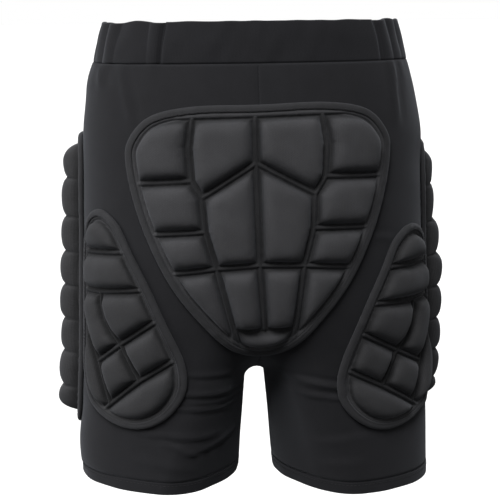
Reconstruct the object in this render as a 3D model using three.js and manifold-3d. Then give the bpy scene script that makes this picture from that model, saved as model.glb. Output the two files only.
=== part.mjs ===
// Protective snowboard shorts: a stretch shell of two joined legs, a waistband and five padded guards.
// Millimetres, +Z up. The origin is the middle of the waist opening at its top edge.
// The padded back faces -Y and the wearer's right is +X. Heights are given as drops below the waist edge.
import * as THREE from 'three';
import Module from 'manifold-3d';

// Shell and waistband
const SHELL_WALL = 1.6;
const BAND_HEIGHT = 37;
const HEM_HEIGHT = 12;
const SEAM_GAP = 0.4;
const SIDES = [
  // sign of X, drop of the leg hem and the wear of each side's pads
  { name: 'left', sign: -1, hem: 436, thigh: 'drawn', hip: 'long' },
  { name: 'right', sign: 1, hem: 442, thigh: 'turned', hip: 'turned' },
];

// How a pad lies against its drawn place: turn in degrees, drop, and the stretch that the worn form gives it
const THIGH_WEAR = {
  // the lower end turns outwards, and the stretches about the pivot are of the length and of its outer side
  drawn: { turn: 0, drop: 0, length: 1, outside: 1 },
  turned: { turn: 4, drop: 12.5, length: 0.94, outside: 1.18 },
};
const HIP_WEAR = {
  // bearing that the pad is seen squarely from, place of its middle line, turn of its lower end forwards,
  // drop, how much further down its foot is drawn out, and how much thicker its bars are
  long: { bearing: 90, middle: 21, turn: 0, drop: 0, foot: 9, lift: 3 },
  turned: { bearing: 97, middle: -2, turn: 6, drop: 9, foot: 0, lift: 0 },
};

// The worn form: a rounded column with these half sizes at each drop, parted below by a slot between the legs
const FORM = [
  { drop: 0, side: 141, back: 99, front: 92 },
  { drop: 42, side: 152, back: 107, front: 99 },
  { drop: 90, side: 160, back: 117, front: 104 },
  { drop: 150, side: 163, back: 125, front: 107 },
  { drop: 205, side: 164, back: 128, front: 107 },
  { drop: 260, side: 166, back: 123, front: 105 },
  { drop: 310, side: 168, back: 112, front: 102 },
  { drop: 350, side: 170, back: 107, front: 101 },
  { drop: 440, side: 172, back: 104, front: 100 },
];
const ROUNDNESS = 2.25;
const CROTCH_DROP = 335;
const CROTCH_RISE = 34;
const SLOT_HALF = { crotch: 9, hem: 17.5 };
const SLOT_FLARE = { crotch: 26, hem: 62 };
const SLOT_MIDDLE_Y = 2;
const SLOT_REACH = 100;
const FOLD_ROUNDING = 28;
const LEG_AXIS_X = 88;

// Rings of the shell, as shares of the way from the waist to the fold between the legs, then on to the hem
const TRUNK_LEVELS = [0, 0.12, 0.26, 0.4, 0.54, 0.68, 0.82, 0.93, 1];
const LEG_LEVELS = [0.015, 0.06, 0.16, 0.4, 0.7, 1];
const RING_STEPS = { outer: 20, inner: 9 };
const FOLD_ENDS = { back: -100, front: 92 };
const FOLD_MARGIN = 0.3;
const HOLLOW_PAST_SEAM = 1;
const HOLLOW_OVERRUN = 5;

// Search for the surface of the form: how far its rays reach, how many of them make a ring, and its fineness
const FAR = 250;
const RAY_STEPS = 120;
const HALVINGS = 30;
const PROBE = 0.5;
const TINY = 1e-9;

// Waistband: a plain panel across the back and gathered elastic round the rest, by bearing from straight back
const PANEL = { from: -45, to: 59, steps: 18 };
const BAND_GAP_DEG = 0.2;
const GATHERS = [
  { from: 59, to: 82, pleats: 4, depth: 2.4 },
  { from: 82, to: 264, pleats: 22, depth: 1.6 },
  { from: 264, to: 288, pleats: 4, depth: 2.4 },
  { from: 288, to: 300, pleats: 1, depth: 1.0 },
  { from: 300, to: 315, pleats: 3, depth: 2.2 },
];
const BAND_SECTION = [
  // drop below the waist edge, distance outside the form, share of the pleat depth
  { drop: 37, out: 0.3, pleat: 0.4 },
  { drop: 18, out: 1.2, pleat: 0.8 },
  { drop: 0, out: 0.4, pleat: 1 },
  { drop: 0, out: -1.8, pleat: 1 },
  { drop: 37, out: -2, pleat: 0.4 },
];

// Leg hem: a doubled turn of cloth, by height above its lower edge and distance outside the form
const HEM_STEPS = 28;
const HEM_SECTION = [
  { rise: 12, out: 0.5 },
  { rise: 1.2, out: 0.9 },
  { rise: 0, out: -0.3 },
  { rise: 0, out: -1.5 },
  { rise: 12, out: -2.3 },
];

// Pads: heights above the form, and the widths of the edge binding, the flat border and the sewn grooves
const PAD_UNDER = 2;
const PAD_FLANGE = 4;
const BINDING = { width: 6, under: 1.9, inner: 4.8, outer: 4.2 };
const BORDER = 5;
const GROOVE = 4.5;
const CELL_EDGE_MAX = 30;
const CELL_EDGE_MIN = 5;
const CELL_EDGE_BOW = 0.8;
const CELL_RINGS = [
  // size as a share of the footprint, share of the way from the border up to the crown
  { size: 0.91, rise: 0.72 },
  { size: 0.7, rise: 0.97 },
];
const CELL_UNDER_RING = 0.5;
const TURN_SLACK = 1e-6;

// Seat pad, seen from behind: the right half of its outline, its groove junctions and its cells
const SEAT_OUTLINE = [
  { x: 0, drop: 74.5 },
  { x: 58, drop: 74.5 },
  { x: 96, drop: 82.5 },
  { x: 115, drop: 103 },
  { x: 117.5, drop: 125 },
  { x: 110, drop: 163 },
  { x: 96.5, drop: 201 },
  { x: 78, drop: 237 },
  { x: 54, drop: 268 },
  { x: 28, drop: 294 },
  { x: 0, drop: 303 },
];
const SEAT_LEAN = -0.02;
const SEAT_OUTLINE_STEPS = 50;
const SEAT_HEIGHT = 13;
const SEAT_JUNCTIONS = {
  topMiddle: [0, 60],
  topOuter: [57, 60],
  topBow: [61, 110],
  peak: [0, 125],
  elbow: [59, 139],
  shoulder: [50, 154],
  waist: [48, 184],
  hip: [39, 217],
  middle: [0, 215],
  foot: [26, 276],
  footMiddle: [0, 276],
  cornerOuter: [140, 60],
  rowOneOuter: [140, 143],
  rowTwoOuter: [125, 188],
  rowThreeOuter: [100, 224],
  lowOuter: [80, 310],
  lowInner: [26, 310],
};
const SEAT_CELLS = [
  ['topMiddle', 'topOuter', 'topBow', 'elbow', 'shoulder', 'peak'],
  ['peak', 'shoulder', 'waist', 'hip', 'middle'],
  ['middle', 'hip', 'foot', 'footMiddle'],
  ['topOuter', 'cornerOuter', 'rowOneOuter', 'elbow', 'topBow'],
  ['elbow', 'rowOneOuter', 'rowTwoOuter', 'waist', 'shoulder'],
  ['waist', 'rowTwoOuter', 'rowThreeOuter', 'hip'],
  ['hip', 'rowThreeOuter', 'lowOuter', 'lowInner', 'foot'],
];
const SEAT_TAIL = { halfWidth: 24, from: 276, to: 310 };

// Thigh pad, seen squarely from its bearing: across is outwards from the middle of the back
const THIGH_BEARING = 42;
const THIGH_OUTLINE = [
  { across: 62, drop: 170 },
  { across: 84, drop: 184 },
  { across: 92, drop: 222 },
  { across: 94, drop: 270 },
  { across: 97, drop: 320 },
  { across: 86, drop: 354 },
  { across: 57, drop: 371 },
  { across: 27, drop: 374 },
  { across: 3, drop: 363 },
  { across: -14, drop: 340 },
  { across: -18, drop: 315 },
  { across: -13, drop: 288 },
  { across: 2, drop: 243 },
  { across: 20, drop: 208 },
  { across: 38, drop: 180 },
];
const THIGH_OUTLINE_STEPS = 38;
const THIGH_PIVOT = [40, 295];
const THIGH_HEIGHT = 12;
const THIGH_JUNCTIONS = {
  topInner: [20, 150],
  topOuter: [110, 150],
  rowOneInner: [10, 205],
  rowOneOuter: [110, 213],
  rowTwoInner: [-10, 237],
  rowTwoMiddle: [60, 246],
  rowTwoOuter: [110, 249],
  bow: [57, 268],
  cross: [40, 294],
  slantInner: [-40, 242],
  slantOuter: [70, 314],
  sliverTop: [92, 260],
  sliverFar: [120, 260],
  fork: [24, 328],
  lowInner: [-40, 285],
  sliverFoot: [57, 354],
  footOuter: [100, 390],
  footInner: [-40, 400],
};
const THIGH_CELLS = [
  ['topInner', 'topOuter', 'rowOneOuter', 'rowOneInner'],
  ['rowOneInner', 'rowOneOuter', 'rowTwoOuter', 'rowTwoMiddle', 'rowTwoInner'],
  ['rowTwoInner', 'rowTwoMiddle', 'bow', 'cross', 'slantInner'],
  ['rowTwoMiddle', 'rowTwoOuter', 'sliverTop', 'slantOuter', 'cross', 'bow'],
  ['slantInner', 'cross', 'fork', 'lowInner'],
  ['cross', 'slantOuter', 'sliverFoot', 'fork'],
  ['sliverTop', 'sliverFar', 'footOuter', 'sliverFoot', 'slantOuter'],
  ['lowInner', 'fork', 'sliverFoot', 'footOuter', 'footInner'],
];

// Hip pad, seen squarely from the side: half its outline about its middle line, and a column of rounded bars
const HIP_OUTLINE = [
  { across: 0, drop: 105 },
  { across: 32, drop: 108 },
  { across: 46, drop: 130 },
  { across: 48, drop: 188 },
  { across: 48, drop: 268 },
  { across: 46, drop: 336 },
  { across: 34, drop: 373 },
  { across: 0, drop: 382 },
];
const HIP_OUTLINE_STEPS = 40;
const HIP_PIVOT = [0, 150];
const HIP_FOOT = { from: 318, to: 382 };
const HIP_BARS = [
  { from: 95, to: 148, height: 16 },
  { from: 148, to: 185, height: 17.5 },
  { from: 185, to: 219, height: 20 },
  { from: 219, to: 252, height: 21.5 },
  { from: 252, to: 285, height: 22.5 },
  { from: 285, to: 318, height: 22 },
  { from: 318, to: 349, height: 21 },
  { from: 349, to: 392, height: 19.5 },
];

// Colours and finishes
const KNIT = new THREE.MeshStandardMaterial({ color: 0x26272a, roughness: 0.9, metalness: 0 });
const ELASTIC = new THREE.MeshStandardMaterial({ color: 0x2b2c30, roughness: 0.88, metalness: 0 });
const MESH_COVER = new THREE.MeshStandardMaterial({ color: 0x3d3e42, roughness: 0.86, metalness: 0 });
const TAPE = new THREE.MeshStandardMaterial({ color: 0x2d2e32, roughness: 0.82, metalness: 0 });

const wasm = await Module();
wasm.setup();
const model = new THREE.Group();

const toRadians = THREE.MathUtils.degToRad;
const mix = THREE.MathUtils.lerp;

// Value of one column of the form table at a drop, by a cubic through the rows
function formSize(column, drop) {
  const last = FORM.length - 1;
  const at = THREE.MathUtils.clamp(drop, FORM[0].drop, FORM[last].drop);
  let row = 0;
  while (row < last - 1 && at > FORM[row + 1].drop) {
    row += 1;
  }
  const slope = (i) => {
    const before = FORM[Math.max(i - 1, 0)];
    const after = FORM[Math.min(i + 1, last)];
    return (after[column] - before[column]) / (after.drop - before.drop);
  };
  const start = FORM[row];
  const end = FORM[row + 1];
  const span = end.drop - start.drop;
  const t = (at - start.drop) / span;
  const rise = t * t * (3 - 2 * t);
  const leave = t * (1 - t) * (1 - t) * span * slope(row);
  const arrive = t * t * (t - 1) * span * slope(row + 1);
  return mix(start[column], end[column], rise) + leave + arrive;
}

// Signed distance, about, from the outside of the worn form: the column less the slot, with a rounded fold
function form(x, y, z) {
  const drop = -z;
  const side = formSize('side', drop);
  const depth = formSize(y < 0 ? 'back' : 'front', drop);
  const reach = Math.hypot(x, y) + TINY;
  const power = (Math.abs(x) / side) ** ROUNDNESS + (Math.abs(y) / depth) ** ROUNDNESS;
  const column = reach - reach / (power ** (1 / ROUNDNESS) + TINY);
  const away = ((y - SLOT_MIDDLE_Y) / SLOT_REACH) ** 2;
  const share = THREE.MathUtils.clamp((drop - CROTCH_DROP) / (FORM.at(-1).drop - CROTCH_DROP), 0, 1);
  const flare = mix(SLOT_FLARE.crotch, SLOT_FLARE.hem, share) * away;
  const half = mix(SLOT_HALF.crotch, SLOT_HALF.hem, share) + flare;
  const arch = -CROTCH_DROP + CROTCH_RISE * away;
  const slot = half - Math.hypot(x, Math.max(0, z - (arch - half)));
  const h = THREE.MathUtils.clamp(0.5 + (0.5 * (column - slot)) / FOLD_ROUNDING, 0, 1);
  return mix(slot, column, h) + FOLD_ROUNDING * h * (1 - h);
}

// Point between an inside and an outside point where the form is `out` from its outside
function crossing(inside, outside, out) {
  const low = inside.clone();
  const high = outside.clone();
  const middle = new THREE.Vector3();
  for (let i = 0; i < HALVINGS; i += 1) {
    middle.addVectors(low, high).multiplyScalar(0.5);
    (form(middle.x, middle.y, middle.z) < out ? low : high).copy(middle);
  }
  return middle.clone();
}

// Outward direction of the form at a point
function outward(point) {
  const { x, y, z } = point;
  const dx = form(x + PROBE, y, z) - form(x - PROBE, y, z);
  const dy = form(x, y + PROBE, z) - form(x, y - PROBE, z);
  const dz = form(x, y, z + PROBE) - form(x, y, z - PROBE);
  return new THREE.Vector3(dx, dy, dz).normalize();
}

// Closed solid through rings of equal count: capped with fans at both ends, or run round to the first again
function loft(rings, isRound) {
  const count = rings[0].length;
  const points = rings.flat();
  const triangles = [];
  const steps = isRound ? rings.length : rings.length - 1;
  for (let r = 0; r < steps; r += 1) {
    const here = r * count;
    const next = ((r + 1) % rings.length) * count;
    for (let i = 0; i < count; i += 1) {
      const j = (i + 1) % count;
      triangles.push([here + i, here + j, next + j], [here + i, next + j, next + i]);
    }
  }
  if (!isRound) {
    const firstMiddle = points.push(middleOf(rings[0])) - 1;
    const lastMiddle = points.push(middleOf(rings.at(-1))) - 1;
    const lastStart = (rings.length - 1) * count;
    for (let i = 0; i < count; i += 1) {
      const j = (i + 1) % count;
      triangles.push([firstMiddle, j, i], [lastMiddle, lastStart + i, lastStart + j]);
    }
  }
  return turnOut({ points, triangles });
}

function middleOf(ring) {
  return ring.reduce((sum, point) => sum.add(point), new THREE.Vector3()).divideScalar(ring.length);
}

// Turns every face over if the solid's volume comes out negative
function turnOut(solid) {
  const volume = solid.triangles.reduce((sum, [a, b, c]) => {
    const cross = solid.points[b].clone().cross(solid.points[c]);
    return sum + solid.points[a].dot(cross);
  }, 0);
  const triangles = volume > 0 ? solid.triangles : solid.triangles.map(([a, b, c]) => [a, c, b]);
  return { points: solid.points, triangles };
}

function toManifold(solid) {
  const vertProperties = new Float32Array(solid.points.flatMap((point) => point.toArray()));
  const triVerts = new Uint32Array(solid.triangles.flat());
  return new wasm.Manifold(new wasm.Mesh({ numProp: 3, vertProperties, triVerts }));
}

function addMesh(name, positions, indices, material) {
  const geometry = new THREE.BufferGeometry();
  geometry.setAttribute('position', new THREE.BufferAttribute(new Float32Array(positions), 3));
  geometry.setIndex(new THREE.BufferAttribute(new Uint32Array(indices), 1));
  geometry.computeVertexNormals();
  const mesh = new THREE.Mesh(geometry, material);
  mesh.name = name;
  model.add(mesh);
}

function addSolid(name, solid, material) {
  addMesh(name, solid.points.flatMap((point) => point.toArray()), solid.triangles.flat(), material);
}

// Points of an open or closed run of points, set at even distances along it
function evenly(points, steps, isClosed) {
  const curve = new THREE.CurvePath();
  const run = isClosed ? [...points, points[0]] : points;
  for (let i = 1; i < run.length; i += 1) {
    curve.add(new THREE.LineCurve3(run[i - 1], run[i]));
  }
  return curve.getSpacedPoints(steps);
}

// Height of the fold between the legs at a place from back to front, `out` from the form
function foldHeight(y, out) {
  const place = THREE.MathUtils.clamp(y, FOLD_ENDS.back, FOLD_ENDS.front);
  const inside = new THREE.Vector3(0, place, -CROTCH_DROP / 2);
  return crossing(inside, inside.clone().setZ(-CROTCH_DROP - SLOT_REACH), out).z;
}

// Ring round one leg, `out` from the form, by rays from the leg's axis. `heightAt` gives its height from back
// to front. Rays towards the other leg stop at the plane X = middle, where the halves of the trunk are sewn.
function legRing(sign, heightAt, isTrunk, out, middle) {
  const reach = LEG_AXIS_X - middle;
  const seamAngle = (endY) => {
    const inside = new THREE.Vector3(sign * middle, 0, heightAt(endY));
    const seamY = isTrunk ? crossing(inside, inside.clone().setY(Math.sign(endY) * FAR), out).y : endY;
    return Math.atan2(seamY, -reach);
  };
  const pointAt = (angle, z) => {
    const length = Math.cos(angle) < 0 ? Math.min(FAR, -reach / Math.cos(angle)) : FAR;
    const axis = new THREE.Vector3(sign * LEG_AXIS_X, 0, z);
    const end = new THREE.Vector3(sign * length * Math.cos(angle), length * Math.sin(angle), 0).add(axis);
    return form(end.x, end.y, end.z) < out ? end : crossing(axis, end, out);
  };
  const back = seamAngle(FOLD_ENDS.back);
  const front = seamAngle(FOLD_ENDS.front);
  const shares = Array.from({ length: RAY_STEPS + 1 }, (_, i) => i / RAY_STEPS);
  const outer = shares.map((share) => {
    const z = mix(heightAt(FOLD_ENDS.back), heightAt(FOLD_ENDS.front), share);
    return pointAt(mix(back, front, share), z);
  });
  const inner = shares.map((share) => {
    const angle = mix(front, back + 2 * Math.PI, share);
    return pointAt(angle, heightAt(-reach * Math.tan(angle)));
  });
  const outerPoints = evenly(outer, RING_STEPS.outer, false).slice(0, -1);
  const innerPoints = evenly(inner, RING_STEPS.inner, false).slice(0, -1);
  return [...outerPoints, ...innerPoints];
}

// Rings from the waistband seam down one half of the trunk and on down its leg to the hem seam
function halfRings(sign, hem, out, middle) {
  const top = -BAND_HEIGHT - SEAM_GAP;
  const foot = -hem + HEM_HEIGHT + SEAM_GAP;
  const trunk = TRUNK_LEVELS.map((share) => {
    const heightAt = (y) => mix(top, foldHeight(y, out) + FOLD_MARGIN, share);
    return legRing(sign, heightAt, true, out, middle);
  });
  const leg = LEG_LEVELS.map((share) => {
    const heightAt = (y) => mix(foldHeight(y, out), foot, share);
    return legRing(sign, heightAt, false, out, middle);
  });
  return [...trunk, ...leg];
}

// One half of the shell: a leg and its half of the trunk, open at the waist, the hem and the middle seam
function addShellHalf({ name, sign, hem }) {
  const outer = halfRings(sign, hem, 0, SEAM_GAP / 2);
  const inner = halfRings(sign, hem, -SHELL_WALL, -HOLLOW_PAST_SEAM);
  const shifted = (ring, rise) => ring.map((point) => new THREE.Vector3(point.x, point.y, point.z + rise));
  const top = shifted(inner[0], HOLLOW_OVERRUN);
  const foot = shifted(inner.at(-1), -HOLLOW_OVERRUN);
  const hollow = [top, ...inner.slice(1, -1), foot];
  const half = toManifold(loft(outer, false)).subtract(toManifold(loft(hollow, false))).getMesh();
  addMesh(`shell_${name}`, half.vertProperties, half.triVerts, KNIT);
}

// Doubled turn of cloth round the foot of a leg
function addHem({ name, sign, hem }) {
  const rings = HEM_SECTION.map(({ rise, out }) => {
    const ring = legRing(sign, () => rise - hem, false, out, SEAM_GAP / 2);
    return evenly(ring, HEM_STEPS, true).slice(0, -1);
  });
  addSolid(`leg_hem_${name}`, loft(rings, true), KNIT);
}

// Section of the waistband at a bearing, pushed out by a pleat
function bandSection(bearing, pleat) {
  const angle = toRadians(bearing);
  return BAND_SECTION.map((row) => {
    const axis = new THREE.Vector3(0, 0, -row.drop);
    const far = new THREE.Vector3(FAR * Math.sin(angle), -FAR * Math.cos(angle), -row.drop);
    return crossing(axis, far, row.out + row.pleat * pleat);
  });
}

function addWaistband() {
  const panel = Array.from({ length: PANEL.steps + 1 }, (_, i) => {
    const bearing = mix(PANEL.from + BAND_GAP_DEG, PANEL.to - BAND_GAP_DEG, i / PANEL.steps);
    return bandSection(bearing, 0);
  });
  addSolid('waistband_back_panel', loft(panel, false), ELASTIC);
  const elastic = [bandSection(GATHERS[0].from + BAND_GAP_DEG, 0)];
  GATHERS.forEach(({ from, to, pleats, depth }) => {
    const pitch = (to - from) / pleats;
    for (let i = 0; i < pleats; i += 1) {
      elastic.push(bandSection(from + (i + 0.5) * pitch, depth));
      elastic.push(bandSection(from + (i + 1) * pitch - BAND_GAP_DEG, 0));
    }
  });
  addSolid('waistband_elastic', loft(elastic, false), ELASTIC);
}

// Closed outline through points of a pattern, at even distances
function patternOutline(points, steps) {
  const corners = points.map(([across, drop]) => new THREE.Vector3(across, drop, 0));
  const curve = new THREE.CatmullRomCurve3(corners, true, 'catmullrom');
  return curve.getSpacedPoints(steps).slice(0, -1).map((point) => new THREE.Vector2(point.x, point.y));
}

// Whole outline from its half: the rows, then the rows between its two ends mirrored back
function mirrored(half) {
  return [...half, ...half.slice(1, -1).reverse().map(([across, drop]) => [-across, drop])];
}

// Outline moved inwards by a width, square to its edge
function drawnIn(outline, width) {
  const turn = Math.sign(THREE.ShapeUtils.area(outline));
  return outline.map((point, i) => {
    const along = outline[(i + 1) % outline.length].clone().sub(outline.at(i - 1)).normalize();
    return new THREE.Vector2(point.x - turn * along.y * width, point.y + turn * along.x * width);
  });
}

// Part of a polygon on the inner side of the line through two points
function cutByLine(polygon, from, to, turn) {
  const along = to.clone().sub(from).normalize();
  const depth = (p) => turn * (along.x * (p.y - from.y) - along.y * (p.x - from.x));
  return polygon.flatMap((point, i) => {
    const next = polygon[(i + 1) % polygon.length];
    const here = depth(point);
    const there = depth(next);
    const kept = here >= 0 ? [point] : [];
    return here * there < 0 ? [...kept, point.clone().lerp(next, here / (here - there))] : kept;
  });
}

// Footprint of one cell: its corners moved in by half a groove, kept inside the border, with short edges
function cellFootprint(corners, border) {
  const turn = Math.sign(THREE.ShapeUtils.area(corners));
  const lines = corners.map((corner, i) => {
    const next = corners[(i + 1) % corners.length];
    const along = next.clone().sub(corner).normalize();
    const inwards = new THREE.Vector2(-along.y, along.x).multiplyScalar((turn * GROOVE) / 2);
    return { point: corner.clone().add(inwards), along };
  });
  const inset = lines.map((line, i) => {
    const before = lines.at(i - 1);
    const bend = before.along.cross(line.along);
    const step = line.point.clone().sub(before.point).cross(line.along) / bend;
    return before.point.clone().addScaledVector(before.along, step);
  });
  const borderTurn = Math.sign(THREE.ShapeUtils.area(border));
  const clipped = border.reduce((polygon, point, i) => (
    cutByLine(polygon, point, border[(i + 1) % border.length], borderTurn)
  ), inset);
  return withShortEdges(clipped);
}

// Polygon without its shortest edges, and with the long ones parted and bowed a little outwards
function withShortEdges(polygon) {
  const turn = Math.sign(THREE.ShapeUtils.area(polygon));
  const spaced = polygon.filter((point, i) => point.distanceTo(polygon.at(i - 1)) > CELL_EDGE_MIN);
  return spaced.flatMap((point, i) => {
    const next = spaced[(i + 1) % spaced.length];
    const parts = Math.ceil(point.distanceTo(next) / CELL_EDGE_MAX);
    const along = next.clone().sub(point).normalize();
    return Array.from({ length: parts }, (_, k) => {
      const bow = k > 0 ? turn * CELL_EDGE_BOW : 0;
      return point.clone().lerp(next, k / parts).add(new THREE.Vector2(along.y * bow, -along.x * bow));
    });
  });
}

// Faces of a pattern with their shared edges turned until none is the long way across its two faces
function compactFaces(points, faces) {
  const angleAt = (corner, a, b) => {
    const one = points[a].clone().sub(points[corner]);
    const two = points[b].clone().sub(points[corner]);
    return Math.abs(Math.atan2(one.cross(two), one.dot(two)));
  };
  const turnOne = (current) => {
    const owners = new Map();
    current.forEach((face, f) => face.forEach((a, k) => owners.set(`${a} ${face[(k + 1) % 3]}`, f)));
    for (const [edge, f] of owners) {
      const [a, b] = edge.split(' ').map(Number);
      const g = owners.get(`${b} ${a}`);
      const c = current[f].find((corner) => corner !== a && corner !== b);
      const d = g === undefined ? c : current[g].find((corner) => corner !== a && corner !== b);
      if (g !== undefined && angleAt(c, a, b) + angleAt(d, a, b) > Math.PI + TURN_SLACK) {
        const turned = new Map([[f, [c, a, d]], [g, [d, b, c]]]);
        return current.map((face, i) => turned.get(i) ?? face);
      }
    }
    return null;
  };
  let result = faces;
  for (let next = faces; next; next = turnOne(result)) {
    result = next;
  }
  return result;
}

// Pad of cells on a flat border, closed beneath. `place` sets a pattern point at a height above the form.
function padSolid(outline, cells, place) {
  const points = [];
  const triangles = [];
  const put = (pattern, height) => pattern.map((point) => points.push(place(point, height)) - 1);
  const band = (from, to) => from.forEach((_, i) => {
    const j = (i + 1) % from.length;
    triangles.push([from[i], from[j], to[j]], [from[i], to[j], to[i]]);
  });
  const shrunk = (footprint, middle, size) => footprint.map((point) => middle.clone().lerp(point, size));
  const pattern = [outline, ...cells.map((cell) => cell.footprint)];
  const flat = pattern.flat();
  const found = THREE.ShapeUtils.triangulateShape(outline, pattern.slice(1));
  const area = found.reduce((sum, face) => sum + THREE.ShapeUtils.area(face.map((i) => flat[i])), 0);
  const faces = compactFaces(flat, area > 0 ? found : found.map(([a, b, c]) => [a, c, b]));
  const upper = pattern.map((loop) => put(loop, PAD_FLANGE));
  const lower = pattern.map((loop) => put(loop, PAD_UNDER));
  faces.forEach(([a, b, c]) => {
    triangles.push([upper.flat()[a], upper.flat()[b], upper.flat()[c]]);
    triangles.push([lower.flat()[a], lower.flat()[c], lower.flat()[b]]);
  });
  band(lower[0], upper[0]);
  cells.forEach(({ footprint, height }, i) => {
    const total = footprint.reduce((sum, point) => sum.add(point), new THREE.Vector2());
    const middle = total.divideScalar(footprint.length);
    const rings = CELL_RINGS.map(({ size, rise }) => (
      put(shrunk(footprint, middle, size), mix(PAD_FLANGE, height, rise))
    ));
    const half = put(shrunk(footprint, middle, CELL_UNDER_RING), PAD_UNDER);
    const [crown] = put([middle], height);
    const [under] = put([middle], PAD_UNDER);
    band(upper[i + 1], rings[0]);
    band(rings[0], rings[1]);
    rings[1].forEach((a, k) => triangles.push([a, rings[1][(k + 1) % rings[1].length], crown]));
    half.forEach((a, k) => {
      const k2 = (k + 1) % half.length;
      const [c, d] = [lower[i + 1][k], lower[i + 1][k2]];
      triangles.push([d, c, a], [d, a, half[k2]], [half[k2], a, under]);
    });
  });
  return turnOut({ points, triangles });
}

// A pad and the binding round its edge
function addPad(name, outline, cells, place) {
  const ccw = THREE.ShapeUtils.area(outline) > 0 ? outline : [...outline].reverse();
  const cover = drawnIn(ccw, BINDING.width + SEAM_GAP);
  const border = drawnIn(ccw, BINDING.width + BORDER);
  const shaped = cells.map(({ corners, height }) => ({ footprint: cellFootprint(corners, border), height }));
  const ordered = shaped.map(({ footprint, height }) => (
    { footprint: THREE.ShapeUtils.area(footprint) > 0 ? footprint : [...footprint].reverse(), height }
  ));
  addSolid(name, padSolid(cover, ordered, place), MESH_COVER);
  const inside = drawnIn(ccw, BINDING.width);
  const rings = [
    ccw.map((point) => place(point, BINDING.under)),
    ccw.map((point) => place(point, BINDING.outer)),
    inside.map((point) => place(point, BINDING.inner)),
    inside.map((point) => place(point, BINDING.under)),
  ];
  addSolid(`${name}_binding`, loft(rings, true), TAPE);
}

// Sets a pattern point on the form from a bearing, and lifts it square to the surface
function placer(bearing, acrossSign, middle) {
  const angle = toRadians(bearing);
  const facing = new THREE.Vector3(Math.sin(angle), -Math.cos(angle), 0);
  const across = new THREE.Vector3(Math.cos(angle), Math.sin(angle), 0).multiplyScalar(acrossSign);
  return (pattern, height) => {
    const line = across.clone().multiplyScalar(pattern.x + middle).setZ(-pattern.y);
    const foot = crossing(line, line.clone().addScaledVector(facing, FAR), 0);
    return foot.addScaledVector(outward(foot), height);
  };
}

const cornersOf = (cell, junctions) => cell.map((name) => new THREE.Vector2(...junctions[name]));

function addSeatPad() {
  const half = SEAT_OUTLINE.map(({ x, drop }) => [x, drop]);
  const rightCells = SEAT_CELLS.map((cell) => cornersOf(cell, SEAT_JUNCTIONS));
  const leftCells = rightCells.map((corners) => corners.map((point) => new THREE.Vector2(-point.x, point.y)));
  const { halfWidth, from, to } = SEAT_TAIL;
  const tail = [[-halfWidth, from], [halfWidth, from], [halfWidth, to], [-halfWidth, to]];
  const all = [...rightCells, ...leftCells, tail.map(([x, drop]) => new THREE.Vector2(x, drop))];
  const leaned = (point) => new THREE.Vector2(point.x, point.y + SEAT_LEAN * point.x);
  const cells = all.map((corners) => ({ corners: corners.map(leaned), height: SEAT_HEIGHT }));
  const outline = patternOutline(mirrored(half), SEAT_OUTLINE_STEPS).map(leaned);
  addPad('seat_pad', outline, cells, placer(0, 1, 0));
}

function addThighPad({ name, sign, thigh }) {
  const { turn, drop: lowered, length, outside } = THIGH_WEAR[thigh];
  const pivot = new THREE.Vector2(...THIGH_PIVOT);
  const laid = (point) => {
    const turned = point.clone().rotateAround(pivot, -toRadians(turn)).sub(pivot);
    const stretch = new THREE.Vector2(turned.x > 0 ? outside : 1, length);
    const place = turned.multiply(stretch).add(pivot);
    return place.setY(place.y + lowered);
  };
  const drawn = THIGH_OUTLINE.map(({ across, drop }) => [across, drop]);
  const outline = patternOutline(drawn, THIGH_OUTLINE_STEPS);
  const cells = THIGH_CELLS.map((cell) => (
    { corners: cornersOf(cell, THIGH_JUNCTIONS).map(laid), height: THIGH_HEIGHT }
  ));
  const place = placer(sign * THIGH_BEARING, sign, 0);
  addPad(`thigh_pad_${name}`, outline.map(laid), cells, place);
}

function addHipPad({ name, sign, hip }) {
  const { bearing, middle, turn, drop: lowered, foot, lift } = HIP_WEAR[hip];
  const pivot = new THREE.Vector2(...HIP_PIVOT);
  const laid = (point) => {
    const longer = foot * THREE.MathUtils.smoothstep(point.y, HIP_FOOT.from, HIP_FOOT.to);
    const drawn = new THREE.Vector2(point.x, point.y + longer).rotateAround(pivot, -toRadians(turn));
    return drawn.setY(drawn.y + lowered);
  };
  const half = HIP_OUTLINE.map(({ across, drop }) => [across, drop]);
  const reach = Math.max(...HIP_OUTLINE.map(({ across }) => across));
  const cells = HIP_BARS.map(({ from, to, height }) => {
    const box = [[-reach, from], [reach, from], [reach, to], [-reach, to]];
    const corners = box.map(([across, drop]) => laid(new THREE.Vector2(across, drop)));
    return { corners, height: height + lift };
  });
  const outline = patternOutline(mirrored(half), HIP_OUTLINE_STEPS).map(laid);
  addPad(`hip_pad_${name}`, outline, cells, placer(sign * bearing, sign, middle));
}

SIDES.forEach(addShellHalf);
SIDES.forEach(addHem);
addWaistband();
addSeatPad();
SIDES.forEach(addThighPad);
SIDES.forEach(addHipPad);

export default model;
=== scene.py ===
"""Protective snowboard shorts, dressed for the studio.

A stretch-knit shell of two joined legs, a waistband with a plain back panel and gathered elastic, doubled
leg hems and five quilted foam guards with bound edges. Pattern sizes are millimetres, as a cutter writes
them, and meshes are put into Blender in metres. +Z is up, the padded back faces -Y and the wearer's right is
+X. A drop is a distance below the top edge of the waist, and a bearing is an angle in degrees from straight
back, growing towards +X.
"""

import logging
import math
from dataclasses import dataclass
from enum import Enum

import bpy
import numpy as np
from mathutils import Matrix


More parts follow.
